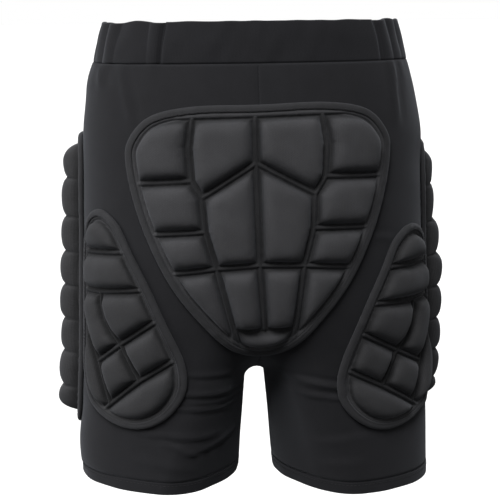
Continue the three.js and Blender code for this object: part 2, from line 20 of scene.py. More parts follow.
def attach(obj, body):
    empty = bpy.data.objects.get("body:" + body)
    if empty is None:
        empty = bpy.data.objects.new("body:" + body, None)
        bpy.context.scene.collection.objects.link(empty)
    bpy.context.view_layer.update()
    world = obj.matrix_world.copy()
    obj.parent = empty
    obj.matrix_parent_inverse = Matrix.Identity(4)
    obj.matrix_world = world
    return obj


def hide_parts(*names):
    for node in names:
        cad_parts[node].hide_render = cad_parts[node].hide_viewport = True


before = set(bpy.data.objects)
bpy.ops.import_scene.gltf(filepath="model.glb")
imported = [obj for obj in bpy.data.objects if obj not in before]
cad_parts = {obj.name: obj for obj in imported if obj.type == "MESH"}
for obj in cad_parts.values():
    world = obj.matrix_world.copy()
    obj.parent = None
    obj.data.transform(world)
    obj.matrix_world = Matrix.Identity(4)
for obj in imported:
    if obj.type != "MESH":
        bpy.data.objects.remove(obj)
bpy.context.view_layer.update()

Array = np.ndarray
LOG = logging.getLogger("shorts")
BODY = "root"
UV_MAP = "cloth"
# Point attribute of a padded cover's raised share, which the mesh shader reads to paint shade in the grooves
SWELL = "swell"
MM = 0.001
TINY = 1e-9
FAR = 250.0
LEG_AXIS = 88.0
BAND_HEIGHT = 37.0
HEM_HEIGHT = 12.0
FULL_TURN = 2 * math.pi
FULL_CIRCLE = 360.0
HALF_CIRCLE = 180.0
QUARTER_CIRCLE = 90.0


class Side(Enum):
    """The two sides of the shorts."""

    LEFT = ("left", -1)
    RIGHT = ("right", 1)

    def __init__(self, label: str, sign: int) -> None:
        """Keeps the word for a side and its sign of X."""
        self.label = label
        self.sign = sign


class Face(Enum):
    """Whether a fold lies on the back or the front of the shorts."""

    BACK = -1
    FRONT = 1


@dataclass(frozen=True)
class Bulge:
    """A soft swelling of the shell's outer side about a drop."""

    drop: float
    width: float
    height: float


@dataclass(frozen=True)
class Worn:
    """How one side is worn: its hem, its guards against their drawn places, and where its shell swells.

    The hem's sag is how much lower it hangs than its solid, and its slope is how much more at the outside of
    the leg. A guard is turned in degrees, the thigh guard's lower end outwards and the hip guard's forwards.
    The thigh guard's length and its outer side are stretched by shares. The lifts raise the hip guard's bars,
    from the top one down, and its foot is drawn out.
    """

    hem: float
    hem_sag: float
    hem_slope: float
    hip_bearing: float
    hip_middle: float
    bulges: tuple[Bulge, ...]
    thigh_drop: float = 0.0
    thigh_turn: float = 0.0
    thigh_length: float = 1.0
    thigh_outside: float = 1.0
    hip_drop: float = 0.0
    hip_turn: float = 0.0
    hip_lifts: tuple[float, ...] = ()
    hip_foot: float = 0.0

    def sag(self, points: Array) -> Array:
        """How much lower the hem hangs at places round the leg."""
        outwards = (np.abs(points[..., 0]) - LEG_AXIS) / LEG_AXIS
        return self.hem_sag + self.hem_slope * outwards


WORN = {
    Side.LEFT: Worn(
        hem=436.0,
        hem_sag=2.4,
        hem_slope=-1.6,
        hip_bearing=90.0,
        hip_middle=21.0,
        hip_lifts=(4.0, 4.0, 3.0, 2.0, 1.5, 1.0, 2.5, 6.0),
        hip_foot=9.0,
        bulges=(Bulge(54, 16, 2.4), Bulge(408, 26, 2.6)),
    ),
    Side.RIGHT: Worn(
        hem=442.0,
        hem_sag=2.0,
        hem_slope=3.2,
        thigh_drop=12.5,
        thigh_turn=4.0,
        thigh_length=0.94,
        thigh_outside=1.18,
        hip_bearing=97.0,
        hip_middle=-2.0,
        hip_drop=9.0,
        hip_turn=6.0,
        hip_lifts=(-1.5, -1.5, 2.0, 4.0, 3.0, 2.0, 1.5, 3.5),
        bulges=(Bulge(105, 22, 2.2),),
    ),
}


def mix(start: Array | float, end: Array | float, share: Array | float) -> Array | float:
    """Value a share of the way from start to end."""
    return start + (end - start) * share


def clamp01(value: Array) -> Array:
    """Value held between 0 and 1."""
    return np.clip(value, 0.0, 1.0)


def smooth_step(low: float, high: float, value: Array) -> Array:
    """Rise from 0 at low to 1 at high, level at both ends."""
    share = clamp01((value - low) / (high - low))
    return share * share * (3 - 2 * share)


def bump(value: Array, middle: float, width: float) -> Array:
    """Bell curve of height 1 about a middle."""
    return np.exp(-(((value - middle) / width) ** 2))


def turned(bearing: float) -> Array:
    """Level direction that a bearing points in."""
    angle = math.radians(bearing)
    return np.array([math.sin(angle), -math.cos(angle), 0.0])


@dataclass(frozen=True)
class Fading:
    """A height at a seam that falls off with the distance from it, to about a third over its reach."""

    height: float
    reach: float

    def at(self, gap: Array) -> Array:
        """Height at distances from the seam."""
        return self.height * np.exp(-gap / self.reach)


@dataclass(frozen=True)
class Ripple:
    """Seeded sum of plane waves of mixed lengths: the slight unevenness of cloth, about 1 high."""

    shortest: float
    longest: float
    seed: int
    waves: int = 16

    def at(self, points: Array) -> Array:
        """Adds up sines along random headings.

        Args:
            points: places in two or three dimensions, in millimetres.

        Returns:
            One height for each point.
        """
        draw = np.random.default_rng(self.seed)
        heading = draw.normal(size=(self.waves, points.shape[-1]))
        heading /= np.linalg.norm(heading, axis=1, keepdims=True)
        length = draw.uniform(self.shortest, self.longest, self.waves)
        phase = draw.uniform(0, FULL_TURN, self.waves)
        turns = points @ (heading / length[:, None]).T * FULL_TURN + phase
        return np.sin(turns).sum(axis=-1) / math.sqrt(self.waves)


@dataclass(frozen=True)
class WornForm:
    """The outside of the worn shorts: a rounded column with a slot between the legs.

    The column has these half sizes at each drop. The slot is narrow at the crotch, widens to the hem and
    flares to the back and front, and a rounded fold joins the two.
    """

    drops: tuple[float, ...] = (0, 42, 90, 150, 205, 260, 310, 350, 440)
    side: tuple[float, ...] = (141, 152, 160, 163, 164, 166, 168, 170, 172)
    back: tuple[float, ...] = (99, 107, 117, 125, 128, 123, 112, 107, 104)
    front: tuple[float, ...] = (92, 99, 104, 107, 107, 105, 102, 101, 100)
    roundness: float = 2.25
    crotch_drop: float = 335.0
    crotch_rise: float = 34.0
    slot_half: tuple[float, float] = (9.0, 17.5)
    slot_flare: tuple[float, float] = (26.0, 62.0)
    slot_middle: float = 2.0
    slot_reach: float = 100.0
    fold_rounding: float = 28.0
    probe: float = 0.5
    halvings: int = 26

    def size(self, column: tuple[float, ...], drop: Array) -> Array:
        """Half size at a drop, by a cubic through the table whose slopes come from the rows on both sides.

        Args:
            column: one of the table's columns.
            drop: drops below the waist edge.

        Returns:
            The half sizes.
        """
        rows = np.array(self.drops, float)
        values = np.array(column, float)
        before = np.maximum(np.arange(len(rows)) - 1, 0)
        after = np.minimum(np.arange(len(rows)) + 1, len(rows) - 1)
        slope = (values[after] - values[before]) / (rows[after] - rows[before])
        at = np.clip(drop, rows[0], rows[-1])
        row = np.clip(np.searchsorted(rows, at) - 1, 0, len(rows) - 2)
        span = rows[row + 1] - rows[row]
        t = (at - rows[row]) / span
        leave = t * (1 - t) ** 2 * span * slope[row]
        arrive = t * t * (t - 1) * span * slope[row + 1]
        return mix(values[row], values[row + 1], t * t * (3 - 2 * t)) + leave + arrive

    def distance(self, points: Array) -> Array:
        """Signed distance, about, from the outside: the column less the slot, with a rounded fold between.

        Args:
            points: places, the last axis being X, Y and Z.

        Returns:
            Distances, negative inside.
        """
        x, y, z = np.moveaxis(points, -1, 0)
        half_side = self.size(self.side, -z)
        half_depth = np.where(y < 0, self.size(self.back, -z), self.size(self.front, -z))
        reach = np.hypot(x, y) + TINY
        power = (np.abs(x) / half_side) ** self.roundness + (np.abs(y) / half_depth) ** self.roundness
        column = reach - reach / (power ** (1 / self.roundness) + TINY)
        away = ((y - self.slot_middle) / self.slot_reach) ** 2
        share = clamp01((-z - self.crotch_drop) / (self.drops[-1] - self.crotch_drop))
        half = mix(*self.slot_half, share) + mix(*self.slot_flare, share) * away
        arch = self.crotch_rise * away - self.crotch_drop
        slot = half - np.hypot(x, np.maximum(0, z - (arch - half)))
        blend = clamp01(0.5 + 0.5 * (column - slot) / self.fold_rounding)
        return mix(slot, column, blend) + self.fold_rounding * blend * (1 - blend)

    def outward(self, points: Array) -> Array:
        """Outward directions: the slope of the distance along X, Y and Z.

        Args:
            points: places near the surface.

        Returns:
            Directions of length 1.
        """
        steps = np.eye(3) * self.probe
        slopes = [self.distance(points + step) - self.distance(points - step) for step in steps]
        found = np.stack(slopes, axis=-1)
        return found / np.linalg.norm(found, axis=-1, keepdims=True)

    def meet(self, inside: Array, outside: Array, out: Array | float = 0.0) -> Array:
        """Places between inside and outside points where the distance is `out`, by halving the way.

        Args:
            inside: points inside the form.
            outside: points outside it.
            out: distance to find.

        Returns:
            The points found.
        """
        low, high = np.broadcast_arrays(inside, outside)
        for _ in range(self.halvings):
            middle = (low + high) / 2
            within = (self.distance(middle) < out)[..., None]
            low = np.where(within, middle, low)
            high = np.where(within, high, middle)
        return (low + high) / 2


FORM = WornForm()


@dataclass
class Surface:
    """Points in millimetres, and lists of faces of one corner count with their corners' cloth places."""

    points: Array
    faces: list[Array]
    cloth: list[Array]

    def flipped(self) -> "Surface":
        """The same surface with its faces turned over."""
        return Surface(self.points, [f[:, ::-1] for f in self.faces], [c[:, ::-1] for c in self.cloth])

    def volume(self) -> float:
        """Enclosed volume: a sixth of the sum over corner triangles of their triple products.

        Returns:
            The volume, negative where the faces point inwards.
        """
        total = 0.0
        for faces in self.faces:
            a = self.points[faces[:, 0]]
            for k in range(1, faces.shape[1] - 1):
                b, c = self.points[faces[:, k]], self.points[faces[:, k + 1]]
                total += float(np.einsum("ij,ij->", a, np.cross(b, c))) / 6
        return total

    def turned_out(self) -> "Surface":
        """The closed surface with its faces pointing out."""
        return self if self.volume() > 0 else self.flipped()

    def facing(self, outward: Array) -> "Surface":
        """The open sheet with its faces turned the way that the given directions at its points go.

        Args:
            outward: a direction for each point.

        Returns:
            The sheet, turned over where that was needed.
        """
        faces = self.faces[0]
        a, b, c = (self.points[faces[:, k]] for k in range(3))
        agreement = np.einsum("ij,ij->", np.cross(b - a, c - a), outward[faces[:, 0]])
        return self if agreement > 0 else self.flipped()


def grid_surface(
    points: Array, cloth: Array, round_rows: bool = False, round_columns: bool = False
) -> Surface:
    """Sheet of quads through a grid of points, closed on itself along the rows or columns where asked.

    Args:
        points: grid of places, rows by columns by 3.
        cloth: places on the cloth, with one more row or column than points along a closed way.
        round_rows: whether the last row joins the first.
        round_columns: whether the last column joins the first.

    Returns:
        The sheet.
    """
    rows, columns = points.shape[:2]
    i, j = np.meshgrid(
        np.arange(rows if round_rows else rows - 1),
        np.arange(columns if round_columns else columns - 1),
        indexing="ij",
    )
    down = np.stack([i, i + 1, i + 1, i], axis=-1).reshape(-1, 4)
    along = np.stack([j, j, j + 1, j + 1], axis=-1).reshape(-1, 4)
    faces = (down % rows) * columns + along % columns
    return Surface(points.reshape(-1, 3), [faces], [cloth[down, along]])


def run_lengths(points: Array) -> Array:
    """Distance along each run of points, from 0 at its first point."""
    steps = np.linalg.norm(np.diff(points, axis=-2), axis=-1)
    return np.concatenate([np.zeros_like(steps[..., :1]), np.cumsum(steps, axis=-1)], axis=-1)


def spaced(points: Array, shares: Array) -> Array:
    """Points at given shares of the length of each run.

    Args:
        points: runs by points by dimensions.
        shares: shares from 0 to 1.

    Returns:
        Runs by shares by dimensions, found between the two nearest points of the run.
    """
    length = run_lengths(points)
    wanted = shares * length[:, -1:]
    after = (length[:, :, None] <= wanted[:, None, :]).sum(axis=1).clip(1, points.shape[1] - 1)
    start = np.take_along_axis(length, after - 1, axis=1)
    end = np.take_along_axis(length, after, axis=1)
    part = ((wanted - start) / np.maximum(end - start, TINY))[..., None]
    first = np.take_along_axis(points, (after - 1)[..., None], axis=1)
    second = np.take_along_axis(points, after[..., None], axis=1)
    return mix(first, second, part)


def closed_curve(corners: Array, count: int, fineness: int = 40) -> Array:
    """Even points on a closed smooth curve through corners.

    Args:
        corners: points that the curve passes through, its slope at each being half the way from the last
            to the next.
        count: number of points wanted.
        fineness: points worked out between two corners.

    Returns:
        Points by dimensions, without a repeat of the first.
    """
    t = (np.arange(fineness) / fineness)[:, None]
    start, end = corners[:, None], np.roll(corners, -1, axis=0)[:, None]
    slope = ((np.roll(corners, -1, axis=0) - np.roll(corners, 1, axis=0)) / 2)[:, None]
    next_slope = np.roll(slope, -1, axis=0)
    curve = mix(start, end, t * t * (3 - 2 * t)) + t * (1 - t) ** 2 * slope + t * t * (t - 1) * next_slope
    run = curve.reshape(-1, corners.shape[1])
    whole = np.concatenate([run, run[:1]])
    return spaced(whole[None], np.arange(count) / count)[0]


def run_gap(points: Array, run: Array, chunk: int = 4000) -> Array:
    """Distance from points to the nearest stretch of a run.

    Args:
        points: places in the pattern.
        run: places that the run passes through, in order.
        chunk: points worked out at a time.

    Returns:
        Distances, none negative.
    """
    along = np.diff(run, axis=0)
    square = (along**2).sum(axis=1) + TINY
    found = []
    for part in np.array_split(points, max(1, len(points) // chunk)):
        offset = part[:, None] - run[:-1]
        share = clamp01((offset * along).sum(axis=-1) / square)
        gap = offset - share[..., None] * along
        found.append(np.sqrt((gap**2).sum(axis=-1).min(axis=1)))
    return np.concatenate(found)


def is_inside(points: Array, loop: Array) -> Array:
    """Whether points lie in a closed loop: a level ray from each crosses its edges an odd number of times.

    Args:
        points: places in the pattern.
        loop: points of the loop, in order.

    Returns:
        True for each point inside.
    """
    start, end = loop, np.roll(loop, -1, axis=0)
    x, y = points[:, None, 0], points[:, None, 1]
    spans = (start[:, 1] > y) != (end[:, 1] > y)
    rise = np.where(np.abs(end[:, 1] - start[:, 1]) < TINY, TINY, end[:, 1] - start[:, 1])
    cross = start[:, 0] + (y - start[:, 1]) * (end[:, 0] - start[:, 0]) / rise
    return (spans & (x < cross)).sum(axis=1) % 2 == 1


def loop_area(loop: Array) -> float:
    """Signed area of a closed loop."""
    after = np.roll(loop, -1, axis=0)
    return float((loop[:, 0] * after[:, 1] - after[:, 0] * loop[:, 1]).sum() / 2)


def sides_of(corners: Array, bend: float = 40.0) -> list[Array]:
    """Sides of a polygon: runs of its edges between the corners that turn inwards by more than a bend.

    Args:
        corners: corners of the polygon.
        bend: smallest turn that ends a side, in degrees.

    Returns:
        The places that each side passes through.
    """
    along = np.roll(corners, -1, axis=0) - corners
    heading = np.degrees(np.arctan2(along[:, 1], along[:, 0]))
    turn = (heading - np.roll(heading, 1) + HALF_CIRCLE) % FULL_CIRCLE - HALF_CIRCLE
    ends = np.flatnonzero(turn * math.copysign(1, loop_area(corners)) > bend)
    counts = (np.roll(ends, -1) - ends) % len(corners)
    return [corners[(first + np.arange(count + 1)) % len(corners)] for first, count in zip(ends, counts)]


def curve_drawn_in(loop: Array, width: float) -> Array:
    """Smooth closed curve moved inwards by a width, square to its run at each point.

    Args:
        loop: points of the curve.
        width: distance to move them.

    Returns:
        The moved points.
    """
    turn = math.copysign(1, loop_area(loop))
    along = np.roll(loop, -1, axis=0) - np.roll(loop, 1, axis=0)
    along = along / np.linalg.norm(along, axis=1, keepdims=True)
    return loop + turn * width * np.stack([-along[:, 1], along[:, 0]], axis=1)


def make_piece(
    name: str, surface: Surface, material: bpy.types.Material, swell: Array | None = None
) -> bpy.types.Object:
    """Puts a surface into Blender as a smooth-shaded object that moves with the body.

    Args:
        name: name of the piece.
        surface: its shape, in millimetres.
        material: its finish.
        swell: how far each point of a padded cover is raised, as a share of its full height, which the
            cover's shader reads to paint shade where it is low.

    Returns:
        The object.
    """
    mesh = bpy.data.meshes.new(name)
    corners = np.concatenate([faces.ravel() for faces in surface.faces])
    counts = np.concatenate([np.full(len(faces), faces.shape[1]) for faces in surface.faces])
    starts = np.cumsum(counts) - counts
    places = np.concatenate([cloth.reshape(-1, 2) for cloth in surface.cloth])
    mesh.vertices.add(len(surface.points))
    mesh.vertices.foreach_set("co", (surface.points * MM).astype(np.float32).ravel())
    mesh.loops.add(len(corners))
    mesh.loops.foreach_set("vertex_index", corners.astype(np.int32))
    mesh.polygons.add(len(counts))
    mesh.polygons.foreach_set("loop_start", starts.astype(np.int32))
    mesh.polygons.foreach_set("use_smooth", np.ones(len(counts), dtype=bool))
    mesh.update(calc_edges=True)
    layer = mesh.uv_layers.new(name=UV_MAP)
    layer.uv.foreach_set("vector", places.astype(np.float32).ravel())
    if swell is not None:
        mesh.attributes.new(SWELL, "FLOAT", "POINT").data.foreach_set("value", swell.astype(np.float32))
    mesh.validate()
    mesh.materials.append(material)
    piece = bpy.data.objects.new(name, mesh)
    bpy.context.scene.collection.objects.link(piece)
    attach(piece, BODY)
    LOG.info("%s: %d points, %d faces", name, len(surface.points), len(counts))
    return piece


def thicken(piece: bpy.types.Object, wall: float) -> None:
    """Gives an outer sheet a wall, inwards from its faces.

    Args:
        piece: the outer sheet.
        wall: thickness of the wall.
    """
    wall_modifier = piece.modifiers.new("wall", "SOLIDIFY")
    wall_modifier.thickness = wall * MM
    wall_modifier.offset = -1.0


@dataclass(frozen=True)
class Thread:
    """A row of stitches: short rounded lengths of thread laid end to end with gaps."""

    length: float = 2.3
    gap: float = 1.5
    radius: float = 0.36
    sides: int = 6
    rings: int = 5
    half_run: float = 0.49
    end_fall: float = 0.92
    heading_reach: float = 0.2
    ring_pitch: float = 0.6

    def row(self, path: Array, normals: Array) -> Surface:
        """Stitches along a closed path: each a tube whose radius falls to its ends as a half ellipse.

        Args:
            path: points of the row.
            normals: outward directions at those points.

        Returns:
            All the stitches as one closed surface.
        """
        whole = np.concatenate([path, path[:1]])
        count = max(1, int(run_lengths(whole)[-1] / (self.length + self.gap)))
        shares = (np.arange(count) + 0.5) / count
        nudge = self.heading_reach / count
        middle = spaced(whole[None], shares)[0]
        ahead = spaced(whole[None], shares + nudge)[0] - spaced(whole[None], shares - nudge)[0]
        ahead /= np.linalg.norm(ahead, axis=1, keepdims=True)
        across = np.cross(ahead, normals[(shares * len(path)).astype(int)])
        across /= np.linalg.norm(across, axis=1, keepdims=True)
        up = np.cross(across, ahead)
        place = np.linspace(-self.half_run, self.half_run, self.rings)
        girth = self.radius * np.sqrt(1 - (2 * place) ** 2 * self.end_fall)[:, None]
        angle = np.arange(self.sides) / self.sides * FULL_TURN
        tube = middle[:, None, None] + ahead[:, None, None] * (place * self.length)[:, None, None]
        tube = tube + across[:, None, None] * (girth * np.cos(angle))[..., None]
        tube = tube + up[:, None, None] * (girth * np.sin(angle))[..., None]
        return self.capped(tube)

    def capped(self, tube: Array) -> Surface:
        """Closed tubes from their rings of points.

        Args:
            tube: stitches by rings by sides by 3.

        Returns:
            The tubes with a flat end at each side.
        """
        count = len(tube)
        ring = np.arange(self.sides)
        along = np.arange(self.rings) * self.ring_pitch
        around = np.append(ring, ring[-1]) * self.radius
        cloth = np.stack(np.meshgrid(along, around, indexing="ij"), axis=-1)
        one = grid_surface(tube[0], cloth, round_columns=True)
        each = self.rings * self.sides
        offset = (np.arange(count) * each)[:, None, None]
        walls = (one.faces[0][None] + offset).reshape(-1, 4)
        ends = np.stack([ring[::-1], ring + each - self.sides])
        caps = (ends[None] + offset).reshape(-1, self.sides)
        cap_cloth = np.zeros((len(caps), self.sides, 2))
        wall_cloth = np.tile(one.cloth[0], (count, 1, 1))
        return Surface(tube.reshape(-1, 3), [walls, caps], [wall_cloth, cap_cloth]).turned_out()


@dataclass(frozen=True)
class Gather:
    """One stretch of the gathered elastic between two bearings."""

    start: float
    end: float
    pleats: int
    depth: float


@dataclass(frozen=True)
class Gathers:
    """All the pleats of the elastic: rounded ridges between narrow valleys, each of its own height."""

    rows: tuple[Gather, ...] = (
        Gather(59, 66, 1, 3.6),
        Gather(66, 73, 1, 3.0),
        Gather(73, 82, 1, 3.0),
        Gather(82, 264, 22, 2.2),
        Gather(264, 277, 2, 2.8),
        Gather(277, 286, 1, 3.2),
        Gather(286, 294, 1, 3.8),
        Gather(294, 309, 1, 2.0),
        Gather(309, 315, 1, 3.4),
    )
    seed: int = 11
    lean: float = 1.1
    lean_rate: float = 0.23
    fullness: float = 0.45
    height_span: tuple[float, float] = (0.62, 1.12)

    def push(self, bearing: Array, rise: Array) -> Array:
        """How far the cloth stands out: a raised cosine in each pleat, to a power that narrows its valleys.

        Args:
            bearing: bearings in degrees.
            rise: share of the way from the band's seam to its top edge.

        Returns:
            Distances, none negative.
        """
        draw = np.random.default_rng(self.seed)
        at = np.mod(bearing, FULL_CIRCLE) + self.lean * np.sin(bearing * self.lean_rate) * (rise - 0.5)
        total = np.zeros(np.broadcast(bearing, rise).shape)
        for row in self.rows:
            place = (at - row.start) / (row.end - row.start) * row.pleats
            heights = draw.uniform(*self.height_span, row.pleats)
            number = np.clip(place.astype(int), 0, row.pleats - 1)
            ridge = (0.5 - 0.5 * np.cos(FULL_TURN * place)) ** self.fullness
            total += np.where((place > 0) & (place < row.pleats), row.depth * heights[number] * ridge, 0.0)
        return total


@dataclass(frozen=True)
class Crease:
    """A drag fold of the shell between two places, given as X and drop: a ridge with a dip beside it."""

    start: tuple[float, float]
    end: tuple[float, float]
    width: float
    height: float
    face: Face = Face.BACK
    fade_in: tuple[float, float] = (-0.15, 0.3)
    fade_out: tuple[float, float] = (0.7, 1.15)
    dip: float = 0.6
    dip_aside: float = 1.7

    def lift(self, points: Array) -> Array:
        """Height of the fold at points of the shell: bells across its run, fading at its ends.

        Args:
            points: places on the shell.

        Returns:
            Distances to move outwards.
        """
        first, last = np.array(self.start), np.array(self.end)
        way = last - first
        flat = np.stack([points[..., 0], -points[..., 2]], axis=-1) - first
        share = flat @ way / (way @ way)
        off = (flat[..., 0] * way[1] - flat[..., 1] * way[0]) / np.linalg.norm(way) / self.width
        fade = smooth_step(*self.fade_in, share) * (1 - smooth_step(*self.fade_out, share))
        profile = bump(off, 0, 1) - self.dip * bump(off, self.dip_aside, 1)
        is_near = points[..., 1] * self.face.value > 0
        return np.where(is_near, self.height * fade * profile, 0.0)


@dataclass
class ShellHalf:
    """One leg and its half of the trunk: a knit sheet by rays from the leg's axis, sewn at the middle."""

    side: Side
    material: bpy.types.Material
    gathers: Gathers
    wall: float = 1.6
    seam_gap: float = 0.4
    seam_x: float = 0.06
    fold_ends: tuple[float, float] = (-100.0, 92.0)
    fold_steps: int = 161
    trunk_rows: int = 105
    leg_rows: int = 52
    outer_columns: int = 124
    inner_columns: int = 52
    rays: int = 240
    crowding: float = 0.55
    leg_bias: float = 1.25
    gathered: Fading = Fading(0.55, 13.0)
    drawn_in: Fading = Fading(2.6, 15.0)
    band_dip: Fading = Fading(0.12, 1.2)
    hem_dip: Fading = Fading(0.15, 1.5)
    middle_dip: float = 0.4
    middle_width: float = 2.6
    middle_end: float = 20.0
    outer_part: tuple[float, float] = (0.7, 1.0)
    sag_start: float = 25.0
    ripple: Ripple = Ripple(30, 75, 3)
    ripple_height: float = 0.22
    creases: tuple[Crease, ...] = (
        Crease((-24, 322), (-72, 320), 2.4, 1.3),
        Crease((-18, 341), (-92, 338), 2.6, 2.1),
        Crease((-16, 349), (-80, 346), 2.2, 1.5),
        Crease((-18, 357), (-90, 352), 2.4, 1.7),
        Crease((-40, 382), (-116, 379), 2.3, 2.0),
        Crease((-22, 387), (-72, 397), 2.2, 2.0),
        Crease((-96, 384), (-60, 398), 2.2, 1.8),
        Crease((-60, 412), (-120, 404), 4.5, 0.9),
        Crease((24, 326), (96, 341), 2.6, 2.6),
        Crease((28, 340), (92, 350), 2.3, 2.2),
        Crease((44, 392), (108, 386), 4.0, 0.9),
        Crease((50, 414), (100, 410), 4.0, 0.8),
        Crease((98, 194), (124, 199), 3.5, 0.9),
        Crease((-124, 36), (-112, 95), 3.2, 2.2),
        Crease((-143, 36), (-141, 58), 3.0, 1.8),
        Crease((127, 36), (129, 95), 3.2, 2.4),
        Crease((-20, 320), (-58, 296), 6.0, 0.8, Face.FRONT),
        Crease((20, 322), (62, 298), 6.0, 0.8, Face.FRONT),
        Crease((-40, 372), (-110, 364), 6.0, 0.6, Face.FRONT),
        Crease((44, 376), (112, 366), 6.0, 0.6, Face.FRONT),
    )

    @property
    def reach(self) -> float:
        """Distance from the leg's axis to the middle seam."""
        return LEG_AXIS - self.seam_x

    @property
    def foot(self) -> float:
        """Z of the shell's lower edge, just above the hem."""
        return HEM_HEIGHT + self.seam_gap - WORN[self.side].hem

    def leg_shares(self) -> Array:
        """Shares of the way down the leg for its rows, set closer together near the top."""
        return np.linspace(0, 1, self.leg_rows)[:, None] ** self.leg_bias

    def points_on(self, angle: Array, height: Array) -> Array:
        """Places where level rays from the leg's axis leave the form, or reach the middle seam's plane first.

        Args:
            angle: directions of the rays, 0 pointing away from the other leg.
            height: Z of each ray.

        Returns:
            The places.
        """
        cosine = np.cos(angle)
        length = np.where(cosine < 0, np.minimum(FAR, -self.reach / np.minimum(cosine, -TINY)), FAR)
        sign = self.side.sign
        axis = np.stack([np.full_like(angle, sign * LEG_AXIS), np.zeros_like(angle), height], axis=-1)
        way = np.stack([sign * cosine, np.sin(angle), np.zeros_like(angle)], axis=-1)
        end = axis + way * length[..., None]
        is_seam = (FORM.distance(end) < 0)[..., None]
        return np.where(is_seam, end, FORM.meet(axis, end))

    def fold_height(self, y: Array) -> Array:
        """Z of the fold between the legs at places from back to front.

        Args:
            y: places along Y.

        Returns:
            Z of the fold at each.
        """
        table = np.linspace(*self.fold_ends, self.fold_steps)
        nothing = np.zeros_like(table)
        inside = np.stack([nothing, table, nothing - FORM.crotch_drop / 2], axis=-1)
        below = np.stack([nothing, table, nothing - FORM.crotch_drop - FORM.slot_reach], axis=-1)
        return np.interp(y, table, FORM.meet(inside, below)[:, 2])

    def seam_angle(self, height: Array, end: float) -> Array:
        """Ray angles that meet the middle seam at the back or front of the trunk.

        Args:
            height: Z of each ring there.
            end: Y of the fold's end on that side.

        Returns:
            Angles about the leg's axis.
        """
        inside = np.stack([np.full_like(height, self.side.sign * self.seam_x), 0 * height, height], axis=-1)
        outside = inside + np.array([0.0, math.copysign(FAR, end), 0.0])
        return np.arctan2(FORM.meet(inside, outside)[..., 1], -self.reach)

    def columns(self, count: int) -> Array:
        """Shares of the way round for columns, set closer together near both ends."""
        share = np.linspace(0, 1, count + 1)
        return share - self.crowding * np.sin(FULL_TURN * share) / FULL_TURN

    def outer_sheet(self) -> Array:
        """Grid from the middle seam at the back, round the outside, to the front, and from waistband to hem.

        Rows run level at the waist, sink to the fold between the legs, and level out again at the hem.

        Returns:
            Rows by columns by 3.
        """
        ends = self.fold_height(np.array(self.fold_ends))
        trunk = np.linspace(0, 1, self.trunk_rows, endpoint=False)[:, None]
        above = mix(-BAND_HEIGHT - self.seam_gap, ends, trunk)
        height = np.concatenate([above, mix(ends, self.foot, self.leg_shares())])
        angles = []
        for k, end in enumerate(self.fold_ends):
            on_trunk = self.seam_angle(height[: self.trunk_rows, k], end)
            angles.append(np.concatenate([on_trunk, np.full(self.leg_rows, math.atan2(end, -self.reach))]))
        share = np.linspace(0, 1, self.rays)
        angle = mix(angles[0][:, None], angles[1][:, None], share)
        z = mix(height[:, :1], height[:, 1:], share)
        return spaced(self.points_on(angle, z), self.columns(self.outer_columns))

    def inner_sheet(self) -> Array:
        """Grid round the inside of the leg, from the fold between the legs to the hem.

        Returns:
            Rows by columns by 3, from front to back.
        """
        start = math.atan2(self.fold_ends[1], -self.reach)
        end = math.atan2(self.fold_ends[0], -self.reach) + FULL_TURN
        angle = np.linspace(start, end, self.rays)
        z = mix(self.fold_height(-self.reach * np.tan(angle)), self.foot, self.leg_shares())
        return spaced(self.points_on(np.broadcast_to(angle, z.shape), z), self.columns(self.inner_columns))

    def unevenness(self, points: Array) -> Array:
        """Distance to move the shell outwards: drag folds, gathers below the band, dips at seams and ripples.

        Args:
            points: places on the smooth form.

        Returns:
            Distances.
        """
        worn = WORN[self.side]
        drop = -points[..., 2]
        below_band = drop - BAND_HEIGHT
        bearing = np.degrees(np.arctan2(points[..., 0], -points[..., 1]))
        lift = sum(crease.lift(points) for crease in self.creases)
        lift = lift + self.gathers.push(bearing, np.zeros_like(drop)) * self.gathered.at(below_band)
        lift = lift - self.band_dip.at(below_band) - self.drawn_in.at(below_band)
        lift = lift - self.hem_dip.at(worn.hem - HEM_HEIGHT - drop)
        outside = smooth_step(*self.outer_part, np.abs(points[..., 0]) / FORM.side[-1])
        for bulge in worn.bulges:
            lift = lift + bulge.height * bump(drop, bulge.drop, bulge.width) * outside
        is_trunk = drop < FORM.crotch_drop - self.middle_end
        middle_seam = self.middle_dip * bump(points[..., 0], 0, self.middle_width)
        return lift - np.where(is_trunk, middle_seam, 0.0) + self.ripple_height * self.ripple.at(points)

